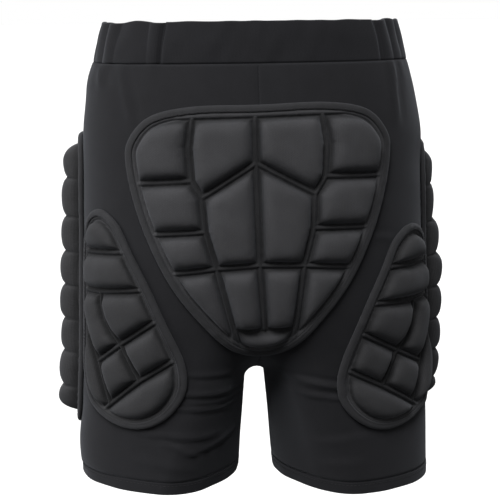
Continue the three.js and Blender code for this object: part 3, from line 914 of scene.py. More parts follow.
    def surface(self) -> Surface:
        """Both grids sewn along the leg and moved by their unevenness.

        Returns:
            The sheet, open at the waist, the middle seam and the hem.
        """
        outer, inner = self.outer_sheet(), self.inner_sheet()
        rows, columns = outer.shape[:2]
        points = np.concatenate([outer.reshape(-1, 3), inner[:, 1:-1].reshape(-1, 3)])
        around, turned_in = run_lengths(outer), run_lengths(inner)
        cloth = np.stack([around - around[:, columns // 2 :][:, :1], -outer[..., 2]], axis=-1)
        first = grid_surface(outer, cloth)
        front_edge = around[-self.leg_rows :, -1:] - around[-self.leg_rows :, columns // 2 :][:, :1]
        inner_cloth = np.stack([front_edge + turned_in, -inner[..., 2]], axis=-1)
        second = grid_surface(inner, inner_cloth)
        number = np.arange(self.leg_rows)[:, None]
        middle = rows * columns + number * (inner.shape[1] - 2) + np.arange(inner.shape[1] - 2)
        edge = (rows - self.leg_rows + number) * columns
        index = np.concatenate([edge + columns - 1, middle, edge], axis=1).ravel()
        faces = first.faces + [index[second.faces[0]]]
        outward = FORM.outward(points)
        moved = points + outward * self.unevenness(points)[:, None]
        moved[:, 0] = self.side.sign * np.maximum(self.side.sign * moved[:, 0], self.seam_x)
        worn = WORN[self.side]
        start, end = FORM.crotch_drop + self.sag_start, worn.hem - HEM_HEIGHT
        moved[:, 2] -= worn.sag(moved) * smooth_step(start, end, -moved[:, 2])
        return Surface(moved, faces, first.cloth + second.cloth).facing(outward)

    def build(self) -> bpy.types.Object:
        """Makes the half, with its wall.

        Returns:
            The shell half.
        """
        surface = self.surface()
        piece = make_piece(f"knit_shell_{self.side.label}", surface, self.material)
        thicken(piece, self.wall)
        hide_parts(f"shell_{self.side.label}")
        return piece


@dataclass
class LegHem:
    """The doubled turn of cloth at the foot of a leg, with its row of stitches.

    Each wave of its edge has a height, a count round the leg and a phase.
    """

    side: Side
    material: bpy.types.Material
    thread: bpy.types.Material
    thickness: float = 2.2
    set_in: float = 0.95
    fold: float = 1.4
    puff: float = 0.12
    tuck: float = 0.12
    tuck_width: float = 1.0
    stitch_rise: float = 9.2
    stitch_out: float = 0.35
    stitch_radius: float = 0.3
    stitch_dip: float = 0.25
    stitch_dip_width: float = 0.8
    waves: tuple[tuple[float, float, float], ...] = ((0.35, 9.0, 0.6), (0.25, 14.0, 0.0))
    wave_fade: float = 0.8
    steps: int = 260
    rays_per_step: int = 3
    outer_rows: int = 14
    fold_rows: int = 6
    inner_rows: int = 6

    def section(self) -> tuple[Array, Array]:
        """Closed section of the turn: down the outer wall, round the fold below and up the inner wall.

        Returns:
            Rise above the lower edge, and distance outside the form.
        """
        half = self.thickness / 2
        turn = np.linspace(0, math.pi, self.fold_rows + 2)[1:-1]
        outer = np.linspace(HEM_HEIGHT, self.fold, self.outer_rows)
        inner = np.linspace(self.fold, HEM_HEIGHT, self.inner_rows)
        rise = np.concatenate([outer, self.fold - self.fold * np.sin(turn), inner])
        walls = np.full(self.outer_rows, half), np.full(self.inner_rows, -half)
        out = np.concatenate([walls[0], half * np.cos(turn), walls[1]])
        puff = self.puff * np.sin(math.pi * clamp01(rise / HEM_HEIGHT))
        puff = puff - self.stitch_dip * bump(rise, self.stitch_rise, self.stitch_dip_width)
        puff = puff - self.tuck * bump(rise, HEM_HEIGHT, self.tuck_width)
        is_outer = np.arange(len(rise)) < self.outer_rows
        return rise, out - self.set_in + np.where(is_outer, puff, 0.0)

    def ring(self, rise: Array, out: Array) -> Array:
        """Points round the leg at given rises and distances outside the form.

        Args:
            rise: rises above the lower edge.
            out: distances, one for each rise.

        Returns:
            Rises by steps by 3, evenly spaced round the leg.
        """
        angle = np.linspace(0, FULL_TURN, self.rays_per_step * self.steps + 1)
        shape = (len(rise), len(angle))
        centre = self.side.sign * LEG_AXIS
        z = np.broadcast_to((rise - WORN[self.side].hem)[:, None], shape)
        axis = np.stack([np.full(shape, centre), np.zeros(shape), z], axis=-1)
        way = np.stack([np.cos(angle), np.sin(angle), np.zeros_like(angle)], axis=-1)
        reach = np.minimum(FAR, LEG_AXIS / np.maximum(np.abs(way[:, 0]), TINY))
        length = np.where(centre * way[:, 0] < 0, reach, FAR)[:, None]
        waves = sum(height * np.sin(count * angle + phase) for height, count, phase in self.waves)
        fade = 1 - self.wave_fade * clamp01(rise / HEM_HEIGHT)
        found = FORM.meet(axis, axis + way * length, out[:, None] + waves * fade[:, None])
        found[..., 2] -= WORN[self.side].sag(found)
        return spaced(found, np.arange(self.steps) / self.steps)

    def build(self) -> list[bpy.types.Object]:
        """Makes the turn of cloth and its stitches.

        Returns:
            The turn of cloth, and the stitches.
        """
        rise, out = self.section()
        points = self.ring(rise, out)
        around = np.linspace(0, run_lengths(points)[0, -1], self.steps + 1)
        down = np.append(run_lengths(np.stack([rise, out], axis=-1)), 0)
        cloth = np.stack(np.broadcast_arrays(around, down[:, None]), axis=-1)
        surface = grid_surface(points, cloth, round_rows=True, round_columns=True).turned_out()
        turn = make_piece(f"knit_hem_{self.side.label}", surface, self.material)
        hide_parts(f"leg_hem_{self.side.label}")
        path = self.ring(np.array([self.stitch_rise]), np.array([self.stitch_out]))[0]
        row = Thread(radius=self.stitch_radius).row(path, FORM.outward(path))
        stitches = make_piece(f"hem_stitches_{self.side.label}", row, self.thread)
        return [turn, stitches]


@dataclass
class Waistband:
    """The doubled band round the waist: a plain panel across the back and gathered elastic round the rest."""

    material: bpy.types.Material
    gathers: Gathers
    outside: float = -2.6
    inside: float = -5.2
    edge: float = 1.3
    panel: tuple[float, float] = (-45.0, 59.0)
    gap: float = 0.02
    degree_mm: float = 2.2
    lowered: float = 0.25
    front_dip: float = 2.4
    front_part: tuple[float, float] = (-0.2, 0.5)
    top_part: tuple[float, float] = (0.55, 1.0)
    puff: float = 0.7
    puff_fullness: float = 0.8
    foot_dip: float = 0.2
    foot_dip_share: float = 0.03
    pleat_foot: float = 0.45
    pleat_inside: float = 0.35
    tuck: float = 2.2
    tuck_width: float = 1.8
    slack: float = 0.3
    slack_ripple: Ripple = Ripple(18, 60, 21)
    edge_ripple: Ripple = Ripple(25, 70, 5)
    elastic_wave: float = 0.77
    panel_wave: float = 0.22
    panel_steps: int = 130
    elastic_steps: int = 760
    outer_rows: int = 26
    edge_rows: int = 7
    inner_rows: int = 8

    def section(self) -> tuple[Array, Array, Array]:
        """Closed section of the band: up its outer face, over its edge and down its inner face.

        Returns:
            Drop below the waist edge, distance outside the form, and a mask that is 1 on the outer face.
        """
        up = np.linspace(0, 1, self.outer_rows)
        over = np.linspace(0, math.pi, self.edge_rows + 2)[1:-1]
        down = np.linspace(self.edge, BAND_HEIGHT, self.inner_rows)
        middle, half = (self.outside + self.inside) / 2, (self.outside - self.inside) / 2
        drop = np.concatenate([mix(BAND_HEIGHT, self.edge, up), self.edge - self.edge * np.sin(over), down])
        puff = self.puff * np.sin(math.pi * up) ** self.puff_fullness
        face = self.outside + puff - self.foot_dip * bump(up, 0, self.foot_dip_share)
        out = np.concatenate([face, middle + half * np.cos(over), np.full(self.inner_rows, self.inside)])
        turning = (1 + np.cos(over)) / 2
        is_outer = np.concatenate([np.ones(self.outer_rows), turning, np.zeros(self.inner_rows)])
        return drop, out, is_outer

    def strip(self, bearings: Array, is_gathered: bool) -> Surface:
        """A length of the band between two bearings, closed at its ends.

        Its section is carried round the form. Pleats and a slack push it out, its ends are tucked in, and its
        top edge waves and dips towards the front.

        Args:
            bearings: bearings of the sections.
            is_gathered: whether it has pleats.

        Returns:
            The closed strip.
        """
        drop, out, is_outer = self.section()
        rise = 1 - drop / BAND_HEIGHT
        arc = bearings * self.degree_mm
        push = self.gathers.push(bearings[:, None], rise) if is_gathered else 0.0
        push = push * mix(self.pleat_foot, 1.0, rise) * mix(self.pleat_inside, 1.0, is_outer)
        tuck = self.tuck * bump(np.minimum(arc - arc[0], arc[-1] - arc), 0, self.tuck_width)[:, None]
        slack = self.slack_ripple.at(np.stack(np.broadcast_arrays(arc[:, None], drop), axis=-1)) * self.slack
        outs = out + push + (slack - tuck) * is_outer
        wave = self.edge_ripple.at(arc[:, None]) * (self.elastic_wave if is_gathered else self.panel_wave)
        angle = np.radians(bearings)[:, None]
        dip = self.front_dip * smooth_step(*self.front_part, -np.cos(angle))
        z = (wave[:, None] - dip) * smooth_step(*self.top_part, rise) - drop - self.lowered
        nothing = np.zeros_like(z)
        axis = np.stack([nothing, nothing, z], axis=-1)
        way = np.stack(np.broadcast_arrays(np.sin(angle), -np.cos(angle), nothing), axis=-1)
        points = FORM.meet(axis, axis + FAR * way, outs)
        down = np.append(run_lengths(np.stack([drop, out], axis=-1)), 0)
        cloth = np.stack(np.broadcast_arrays(arc[:, None], down), axis=-1)
        body = grid_surface(points, cloth, round_columns=True)
        count = len(drop)
        ends = np.stack([np.arange(count)[::-1], np.arange(count) + (len(bearings) - 1) * count])
        faces, places = [*body.faces, ends], [*body.cloth, np.zeros((2, count, 2))]
        return Surface(body.points, faces, places).turned_out()

    def build(self) -> list[bpy.types.Object]:
        """Makes the panel and the elastic.

        Returns:
            The panel, and the elastic.
        """
        start, end = self.panel
        flat = np.linspace(start + self.gap, end - self.gap, self.panel_steps)
        round_rest = np.linspace(end + self.gap, start + FULL_CIRCLE - self.gap, self.elastic_steps)
        panel = make_piece("band_back_panel", self.strip(flat, False), self.material)
        elastic = make_piece("band_elastic", self.strip(round_rest, True), self.material)
        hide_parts("waistband_back_panel")
        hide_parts("waistband_elastic")
        return [panel, elastic]


@dataclass(frozen=True)
class Placing:
    """Where a flat pattern lies on the form: seen squarely from a bearing, then set on the surface."""

    bearing: float
    across_sign: int = 1
    middle: float = 0.0

    def on_form(self, pattern: Array, height: Array | float) -> Array:
        """Sets pattern points on the form along the bearing, and lifts them square to the surface.

        Args:
            pattern: places as across and drop.
            height: heights above the form.

        Returns:
            Places in space.
        """
        across = turned(self.bearing + QUARTER_CIRCLE) * self.across_sign
        line = (pattern[..., :1] + self.middle) * across
        line[..., 2] = -pattern[..., 1]
        foot = FORM.meet(line, line + FAR * turned(self.bearing))
        return foot + FORM.outward(foot) * np.asarray(height)[..., None]


@dataclass(frozen=True)
class Cell:
    """One cushion of a guard: the corners of its place between the grooves, and its height over the form."""

    corners: Array
    height: float


@dataclass(frozen=True)
class GuardMake:
    """Sizes of a guard's border, seams, foam and bound edge, and how finely they are worked out."""

    # Cover, its flat border and its underside
    flange: float = 3.7
    binding: float = 6.0
    border: float = 4.0
    # Share given to the border so that its cover gets a middling painted shade
    border_shade_share: float = 0.45
    ridge: float = 0.5
    ridge_at: float = -1.7
    ridge_width: float = 1.2
    cover_edge: float = 2.6
    under: float = 1.2
    under_rings: tuple[float, ...] = (1.0, 0.75, 0.4, 0.12)

    # Grooves between the cells, and the strip sewn in them
    groove: float = 7.2
    valley: float = 2.3
    crease: float = 1.8
    strip: float = 0.5
    strip_edge: tuple[float, float] = (-0.5, 0.7)
    strip_fade: float = 2.0

    # Foam and the puckers of its cover
    shoulder: float = 3.3
    blend: float = 3.0
    foam: float = 0.3
    foam_fade: float = 8.0
    foam_lengths: tuple[float, float] = (24.0, 55.0)
    pucker: float = 0.2
    pucker_fade: float = 3.5
    pucker_lengths: tuple[float, float] = (4.5, 10.0)
    fine_waves: int = 24

    # Tape round the edge, its section as inset and height, and its stitches
    tape_section: tuple[tuple[float, float], ...] = (
        (6.0, 0.7),
        (3.0, 0.5),
        (0.6, 0.6),
        (-0.5, 1.5),
        (-0.6, 2.8),
        (0.2, 4.0),
        (1.6, 4.7),
        (3.4, 4.9),
        (4.6, 4.65),
        (5.5, 4.75),
        (6.1, 4.4),
        (5.6, 4.0),
        (3.4, 4.1),
        (2.0, 3.7),
        (1.3, 2.6),
        (2.0, 1.4),
        (4.0, 1.2),
        (6.0, 1.2),
    )
    tape_pucker: float = 0.16
    tape_lengths: tuple[float, float] = (5.0, 14.0)
    tape_turn: float = 6.3
    tape_top: float = 5.0
    tape_step: float = 2.0
    stitch_inset: float = 4.7
    stitch_height: float = 4.8

    # Points on the outline for each use of it, and on the tape's section
    relief_steps: int = 360
    edge_steps: int = 900
    count_steps: int = 200
    length_steps: int = 400
    section_steps: int = 30


@dataclass(frozen=True)
class GuardCloths:
    """What a guard is sewn from: its cover, its edge tape and its thread."""

    cover: bpy.types.Material
    tape: bpy.types.Material
    thread: bpy.types.Material


@dataclass
class Guard:
    """A quilted guard: foam cells under a mesh cover, on a flat border, with a tape bound round its edge."""

    name: str
    corners: Array
    cells: list[Cell]
    placing: Placing
    grid: tuple[int, int]
    cloths: GuardCloths
    seed: int
    groove_share: float = 0.0
    make: GuardMake = GuardMake()
    fill: float = 0.9

    def outline(self, count: int) -> Array:
        """Even points on the edge of the guard's pattern."""
        return closed_curve(self.corners, count)

    def swelling(self, gap: Array) -> Array:
        """Share of the full height at a distance inside a seam."""
        return 1 - np.exp(-np.maximum(gap, 0) / self.make.shoulder)

    def cell_form(self, pattern: Array, cell: Cell, rim: Array) -> tuple[Array, Array]:
        """Shape of a cell: the product of its swellings from each of its sides and from the border.

        Args:
            pattern: places as across and drop.
            cell: the cell.
            rim: distance inside the border at each place.

        Returns:
            Distance inside the cell's nearest seam, and the share of its full height.
        """
        gaps = [run_gap(pattern, side) - self.make.groove / 2 for side in sides_of(cell.corners)]
        gaps = np.stack([*gaps, rim])
        is_within = is_inside(pattern, cell.corners)
        depth = np.where(is_within, gaps.min(axis=0), -FAR)
        return depth, np.where(is_within, self.swelling(gaps).prod(axis=0), 0.0)

    def relief(self, pattern: Array) -> tuple[Array, Array]:
        """Height of the cover over the form.

        The flange is flat. A cell rises from each seam by 1 - exp(-d / shoulder) of its height, where d is
        the distance inside the seam, and a share of the rise may carry on under the grooves up to the border.
        A sewn strip stands in each groove and a ridge on the border. There are slight puckers along the seams
        and a slight unevenness on the foam.

        Args:
            pattern: places as across and drop.

        Returns:
            Heights, and the share of the full swelling at each place, which on the border is a set share; the
            cover's shader paints shade by this share.
        """
        make = self.make
        outline = self.outline(make.relief_steps)
        rim = run_gap(pattern, np.concatenate([outline, outline[:1]])) - make.binding - make.border
        forms = [self.cell_form(pattern, cell, rim) for cell in self.cells]
        depths = np.stack([depth for depth, _ in forms])
        rise = np.stack([share for _, share in forms]).max(axis=0)
        nearest = depths.max(axis=0)
        weights = np.exp((depths - nearest) / make.blend)
        heights = np.array([cell.height for cell in self.cells])
        full = weights.T @ heights / weights.sum(axis=0) - make.flange
        share = mix(rise, self.swelling(rim), self.groove_share)
        start, end = (make.valley + edge for edge in make.strip_edge)
        strip = make.strip * smooth_step(start, end, -nearest) * clamp01(rim / make.strip_fade)
        ridge = make.ridge * bump(rim, make.ridge_at, make.ridge_width)
        crease = make.crease * bump(nearest, -make.valley / 2, make.valley / 2)
        fine = Ripple(*make.pucker_lengths, self.seed, make.fine_waves).at(pattern)
        pucker = make.pucker * fine * np.exp(-np.abs(nearest) / make.pucker_fade)
        coarse = Ripple(*make.foam_lengths, self.seed + 1).at(pattern)
        foam = make.foam * coarse * clamp01(nearest / make.foam_fade)
        height = make.flange + full * share + strip + ridge - crease + pucker + foam
        # The share drives the painted shade in the cover's colour, the border taking a set share
        return height, np.where(rim < 0, make.border_shade_share, share)

    def pattern_grid(self) -> Array:
        """Grid of pattern places that fills the cover: a square drawn out to a disc, then to the outline.

        A square's place (s, t) goes to the disc as s * sqrt(1 - t * t / 2) and t * sqrt(1 - s * s / 2), and
        the disc's radius is stretched to the outline's in each direction.

        Returns:
            Rows by columns by 2.
        """
        edge = curve_drawn_in(self.outline(self.make.edge_steps), self.make.cover_edge)
        low, high = edge.min(axis=0), edge.max(axis=0)
        middle, half = (low + high) / 2, (high - low) / 2
        unit = (edge - middle) / half
        angle = np.arctan2(unit[:, 1], unit[:, 0])
        order = np.argsort(angle)
        s, t = np.meshgrid(*(np.linspace(-1, 1, n) for n in self.grid), indexing="ij")
        disc_s, disc_t = s * np.sqrt(1 - t * t / 2), t * np.sqrt(1 - s * s / 2)
        radius = np.linalg.norm(unit, axis=1)
        reach = np.interp(np.arctan2(disc_t, disc_s), angle[order], radius[order], period=FULL_TURN)
        return middle + half * np.stack([disc_s * reach, disc_t * reach], axis=-1)

    def pad_surface(self) -> tuple[Surface, Array]:
        """The cover over its foam, closed beneath by rings drawn in towards the middle.

        Returns:
            The closed surface, and the share of its full height that each of its points is raised by, which
            sets the painted shade in the cover's colour.
        """
        pattern = self.pattern_grid()
        rows, columns = pattern.shape[:2]
        flat = pattern.reshape(-1, 2)
        height, share = self.relief(flat)
        top = self.placing.on_form(flat, height).reshape(rows, columns, 3)
        upper = grid_surface(top, pattern)
        number = np.arange(rows * columns).reshape(rows, columns)
        rim = np.concatenate([number[0, :-1], number[:-1, -1], number[-1, :0:-1], number[:0:-1, 0]])
        middle = flat[rim].mean(axis=0)
        sizes = np.array(self.make.under_rings)[:, None, None]
        rings = middle + (flat[rim] - middle) * sizes
        beneath = self.placing.on_form(rings.reshape(-1, 2), self.make.under).reshape(len(sizes), -1, 3)
        centre = self.placing.on_form(middle[None], self.make.under)
        count = len(rim)
        rest = np.arange(len(sizes) * count).reshape(len(sizes), count) + rows * columns
        index = np.concatenate([rim[None], rest])
        unplaced, plain = np.zeros((len(index), count, 3)), np.zeros((len(index), count + 1, 2))
        layout = grid_surface(unplaced, plain, round_columns=True)
        last, hub = index[-1], rows * columns + rest.size
        fan = np.stack([last, np.full(count, hub), np.roll(last, -1)], axis=1)
        points = np.concatenate([upper.points, beneath.reshape(-1, 3), centre])
        underside = index.ravel()[layout.faces[0]]
        if self.turns_with(upper.faces[0], underside):
            underside, fan = underside[:, ::-1], fan[:, ::-1]
        cloth = [upper.cloth[0], layout.cloth[0], np.zeros((count, 3, 2))]
        swell = np.concatenate([share, np.zeros(len(points) - len(share))])
        return Surface(points, [upper.faces[0], underside, fan], cloth).turned_out(), swell

    @staticmethod
    def turns_with(faces: Array, others: Array) -> bool:
        """Whether two sheets run along a shared edge the same way, so that one has to be turned over.

        Args:
            faces: faces of one sheet.
            others: faces of the other.

        Returns:
            True where an edge runs the same way in both.
        """
        one = np.stack([faces, np.roll(faces, -1, axis=1)], axis=-1).reshape(-1, 2)
        two = np.stack([others, np.roll(others, -1, axis=1)], axis=-1).reshape(-1, 2)
        size = max(one.max(), two.max()) + 1
        return bool(np.isin(two @ [size, 1], one @ [size, 1]).any())

    def tape_surface(self) -> Surface:
        """The binding: its folded section carried round the outline, slightly puckered by its stitches.

        Returns:
            The closed tape.
        """
        make = self.make
        section = closed_curve(np.array(make.tape_section), make.section_steps)
        loop = self.outline(self.tape_steps())
        rings = np.stack([curve_drawn_in(loop, inset) for inset in section[:, 0]])
        around = np.linspace(0, 1, len(loop) + 1)
        length = run_lengths(loop)[-1]
        angle = around[:-1] * FULL_TURN
        circle = np.stack([np.cos(angle), np.sin(angle)], axis=-1) * length / make.tape_turn
        pucker = make.tape_pucker * Ripple(*make.tape_lengths, self.seed + 2, make.fine_waves).at(circle)
        height = section[:, 1:] + pucker * clamp01(section[:, 1:] / make.tape_top)
        points = self.placing.on_form(rings, height)
        across = np.append(run_lengths(section), 0)[:, None]
        cloth = np.stack(np.broadcast_arrays(around * length, across), axis=-1)
        return grid_surface(points, cloth, True, True).turned_out()

    def tape_steps(self) -> int:
        """Steps along the binding."""
        return int(run_lengths(self.outline(self.make.count_steps))[-1] / self.make.tape_step)

    def build(self) -> None:
        surface, swell = self.pad_surface()
        pad = make_piece(f"quilted_{self.name}", surface, self.cloths.cover, swell)
        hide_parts(self.name)
        tape = make_piece(f"bound_{self.name}", self.tape_surface(), self.cloths.tape)
        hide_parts(f"{self.name}_binding")
        path = curve_drawn_in(self.outline(self.tape_steps()), self.make.stitch_inset)
        places = self.placing.on_form(path, self.make.stitch_height)
        row = Thread().row(places, FORM.outward(places))
        stitches = make_piece(f"stitched_{self.name}", row, self.cloths.thread)
        length = float(run_lengths(self.outline(self.make.length_steps))[-1]) * MM


def swung(pattern: Array, pivot: tuple[float, float], degrees: float) -> Array:
    """Pattern places turned about a pivot, their lower end the way that across grows.

    Args:
        pattern: places as across and drop.
        pivot: place that stays.
        degrees: angle to turn by.

    Returns:
        The turned places.
    """
    angle = math.radians(degrees)
    turn = np.array([[math.cos(angle), -math.sin(angle)], [math.sin(angle), math.cos(angle)]])
    return np.array(pivot) + (pattern - np.array(pivot)) @ turn


def mirrored(half: Array) -> Array:
    """Whole outline from its half: its rows, then those between its two ends mirrored back."""
    back = half[-2:0:-1] * np.array([-1.0, 1.0])
    return np.concatenate([half, back])


@dataclass(frozen=True)
class SeatPattern:
    """Pattern of the seat guard, by its right half as X and drop."""

    height: float = 13.0
    outline: tuple[tuple[float, float], ...] = (
        (0, 74.5),
        (58, 74.5),
        (96, 82.5),
        (115, 103),
        (117.5, 125),
        (110, 163),
        (96.5, 201),
        (78, 237),
        (54, 268),
        (28, 294),
        (0, 303),
    )
    grid: tuple[int, int] = (305, 305)
    seed: int = 40
    lean: float = -0.02
    tail: tuple[tuple[float, float], ...] = ((-28, 273), (28, 273), (23, 295), (-23, 295))
    sway_drops: tuple[float, ...] = (90, 150, 215, 245, 300)
    sway: tuple[float, ...] = (-4.5, -4.5, -2.5, 0.5, 3.0)
    sway_reach: tuple[float, float] = (10.0, 100.0)

    def junctions(self) -> dict[str, tuple[float, float]]:
        """Places where grooves meet, or where they would beyond the border.

        Returns:
            Places as X and drop, by name.
        """
        return {
            "top_middle": (0, 83),
            "top_outer": (57, 83),
            "top_bow": (61, 110),
            "peak": (0, 125),
            "elbow": (59, 139),
            "shoulder": (50, 154),
            "waist": (48, 184),
            "hip": (39, 217),
            "middle": (0, 215),
            "foot": (28, 276),
            "foot_middle": (0, 276),
            "corner_outer": (140, 83),
            "row_one_outer": (140, 143),
            "row_two_outer": (125, 188),
            "row_three_outer": (100, 224),
            "low_outer": (80, 310),
            "low_inner": (32, 310),
        }

    def laid(self, pattern: Array) -> Array:
        """Pattern places as worn: the guard leans a little, its left side lower."""
        return pattern + np.stack([np.zeros(len(pattern)), self.lean * pattern[:, 0]], axis=1)

    def swayed(self, pattern: Array) -> Array:
        """Pattern places moved across with the middle seam, which leans, and less so further from it.

        Args:
            pattern: places as X and drop.

        Returns:
            The moved places.
        """
        fade = 1 - smooth_step(*self.sway_reach, np.abs(pattern[:, 0]))
        shift = np.interp(pattern[:, 1], self.sway_drops, self.sway) * fade
        return pattern + np.stack([shift, np.zeros(len(pattern))], axis=1)

    def cells(self) -> list[Cell]:
        """The seven cells of the right half, their mirrors, and the tail.

        Returns:
            The cells as worn.
        """
        at = self.junctions()
        names = (
            "top_middle top_outer top_bow elbow shoulder peak",
            "peak shoulder waist hip middle",
            "middle hip foot foot_middle",
            "top_outer corner_outer row_one_outer elbow top_bow",
            "elbow row_one_outer row_two_outer waist shoulder",
            "waist row_two_outer row_three_outer hip",
            "hip row_three_outer low_outer low_inner foot",
        )
        right = [np.array([at[name] for name in row.split()], float) for row in names]
        left = [corners * np.array([-1.0, 1.0]) for corners in right]
        tail = np.array(self.tail, float)
        return [Cell(self.laid(self.swayed(corners)), self.height) for corners in [*right, *left, tail]]


@dataclass(frozen=True)
class ThighPattern:
    """Pattern of a thigh guard, seen squarely from its bearing, as across, growing outwards, and drop."""

    height: float = 12.0
    bearing: float = 42.0
    outline: tuple[tuple[float, float], ...] = (
        (62, 170),
        (84, 184),
        (92, 222),
        (94, 270),
        (97, 320),
        (86, 354),
        (57, 371),
        (27, 374),
        (3, 363),
        (-14, 340),
        (-18, 315),
        (-13, 288),
        (2, 243),
        (20, 208),
        (38, 180),
    )
    pivot: tuple[float, float] = (40.0, 295.0)
    grid: tuple[int, int] = (170, 270)
    seed: int = 50

    def junctions(self) -> dict[str, tuple[float, float]]:
        """Places where grooves meet, or where they would beyond the border.

        Returns:
            Places as across and drop, by name.
        """
        return {
            "top_inner": (20, 150),
            "top_outer": (110, 150),
            "row_one_inner": (10, 205),
            "row_one_outer": (110, 213),
            "row_two_inner": (-10, 237),
            "row_two_middle": (60, 246),
            "row_two_outer": (110, 249),
            "bow_high": (59.5, 257),
            "bow": (56, 270),
            "bow_low": (49.5, 282),
            "cross": (40, 294),
            "slant_inner": (-40, 242),
            "slant_outer": (70, 314),
            "sliver_top": (92, 260),
            "sliver_far": (120, 260),
            "fork": (24, 328),
            "low_inner": (-40, 285),
            "sliver_foot": (57, 354),
            "foot_outer": (100, 390),
            "foot_inner": (-40, 400),
        }

    def laid(self, pattern: Array, worn: Worn) -> Array:
        """Pattern places as worn: turned about the pivot, stretched from it, and lowered.

        Args:
            pattern: places as across and drop.
            worn: how that side is worn.

        Returns:
            The places as worn.
        """
        place = swung(pattern, self.pivot, worn.thigh_turn) - np.array(self.pivot)
        wider = np.where(place[:, 0] > 0, worn.thigh_outside, 1.0)
        place = place * np.stack([wider, np.full(len(place), worn.thigh_length)], axis=1)
        return place + np.array(self.pivot) + np.array([0.0, worn.thigh_drop])

    def cells(self, worn: Worn) -> list[Cell]:
        """The eight cells of a guard as it is worn.

        Args:
            worn: how that side is worn.

        Returns:
            The cells.
        """
        at = self.junctions()
        names = (
            "top_inner top_outer row_one_outer row_one_inner",
            "row_one_inner row_one_outer row_two_outer row_two_middle row_two_inner",
            "row_two_inner row_two_middle bow_high bow bow_low cross slant_inner",
            "row_two_middle row_two_outer sliver_top slant_outer cross bow_low bow bow_high",
            "slant_inner cross fork low_inner",
            "cross slant_outer sliver_foot fork",
            "sliver_top sliver_far foot_outer sliver_foot slant_outer",
            "low_inner fork sliver_foot foot_outer foot_inner",
        )
        drawn = [np.array([at[name] for name in row.split()], float) for row in names]
        return [Cell(self.laid(corners, worn), self.height) for corners in drawn]


@dataclass(frozen=True)
class HipPattern:
    """Pattern of a hip guard, seen squarely from its side: half its outline, and its bars from the top."""

    outline: tuple[tuple[float, float], ...] = (
        (0, 105),
        (32, 108),
        (46, 130),
        (48, 188),
        (48, 268),
        (46, 336),
        (34, 373),
        (0, 382),
    )
    edges: tuple[float, ...] = (95, 148, 185, 219, 252, 285, 318, 349, 392)
    heights: tuple[float, ...] = (16, 17.5, 20, 21.5, 22.5, 22, 21, 19.5)
    groove_share: float = 0.75
    make: GuardMake = GuardMake(shoulder=5.0, groove=2.4, valley=1.2, strip=0.0, crease=1.2)
    grid: tuple[int, int] = (100, 300)
    seed: int = 60
    pivot: tuple[float, float] = (0.0, 150.0)
    foot_span: tuple[float, float] = (318.0, 382.0)

    def laid(self, pattern: Array, worn: Worn) -> Array:
        """Pattern places as worn: drawn out at the foot, turned about the pivot, and lowered.

        Args:
            pattern: places as across and drop.
            worn: how that side is worn.

        Returns:
            The places as worn.
        """
        longer = worn.hip_foot * smooth_step(*self.foot_span, pattern[:, 1])
        drawn = pattern + np.stack([np.zeros(len(pattern)), longer], axis=1)
        return swung(drawn, self.pivot, worn.hip_turn) + np.array([0.0, worn.hip_drop])

    def cells(self, worn: Worn) -> list[Cell]:
        """One cell for each bar, as wide as the guard.

        Args:
            worn: how that side is worn.

        Returns:
            The cells, from the top one down.
        """
        reach = max(across for across, _ in self.outline)
        made = []
        for top, foot, height, lift in zip(self.edges, self.edges[1:], self.heights, worn.hip_lifts):
            bar = np.array([(-reach, top), (reach, top), (reach, foot), (-reach, foot)], float)
            made.append(Cell(self.laid(bar, worn), height + lift))
        return made


class Signal:
    """A shader value that takes part in Python arithmetic: each operator adds one Math node."""

    def __init__(self, graph: "Graph", socket: bpy.types.NodeSocket) -> None:
        """Wraps an output socket of a graph."""
        self.graph = graph
        self.socket = socket

    def math(self, operation: str, *values: "Signal | float") -> "Signal":
        """Result of a Math node on this value and others, in the order given."""
        inputs = dict(enumerate(values))
        return self.graph.value("ShaderNodeMath", {"operation": operation}, inputs)

    def __add__(self, other: "Signal | float") -> "Signal":
        """Sum."""
        return self.math("ADD", self, other)

    def __sub__(self, other: "Signal | float") -> "Signal":
        """Difference."""
        return self.math("SUBTRACT", self, other)

    def __rsub__(self, other: float) -> "Signal":
        """Difference from a number."""
        return self.math("SUBTRACT", other, self)

    def __mul__(self, other: "Signal | float") -> "Signal":
        """Product."""
        return self.math("MULTIPLY", self, other)

    __radd__ = __add__
    __rmul__ = __mul__

    def cosine(self) -> "Signal":
        """Cosine."""
        return self.math("COSINE", self)

    def step(self, low: float, high: float) -> "Signal":
        """Smooth rise from 0 at low to 1 at high.

        Args:
            low: value where the rise starts.
            high: value where it ends.

        Returns:
            The risen value.
        """
        settings = {"interpolation_type": "SMOOTHSTEP"}
        inputs = {"Value": self, "From Min": low, "From Max": high}
        return self.graph.value("ShaderNodeMapRange", settings, inputs)


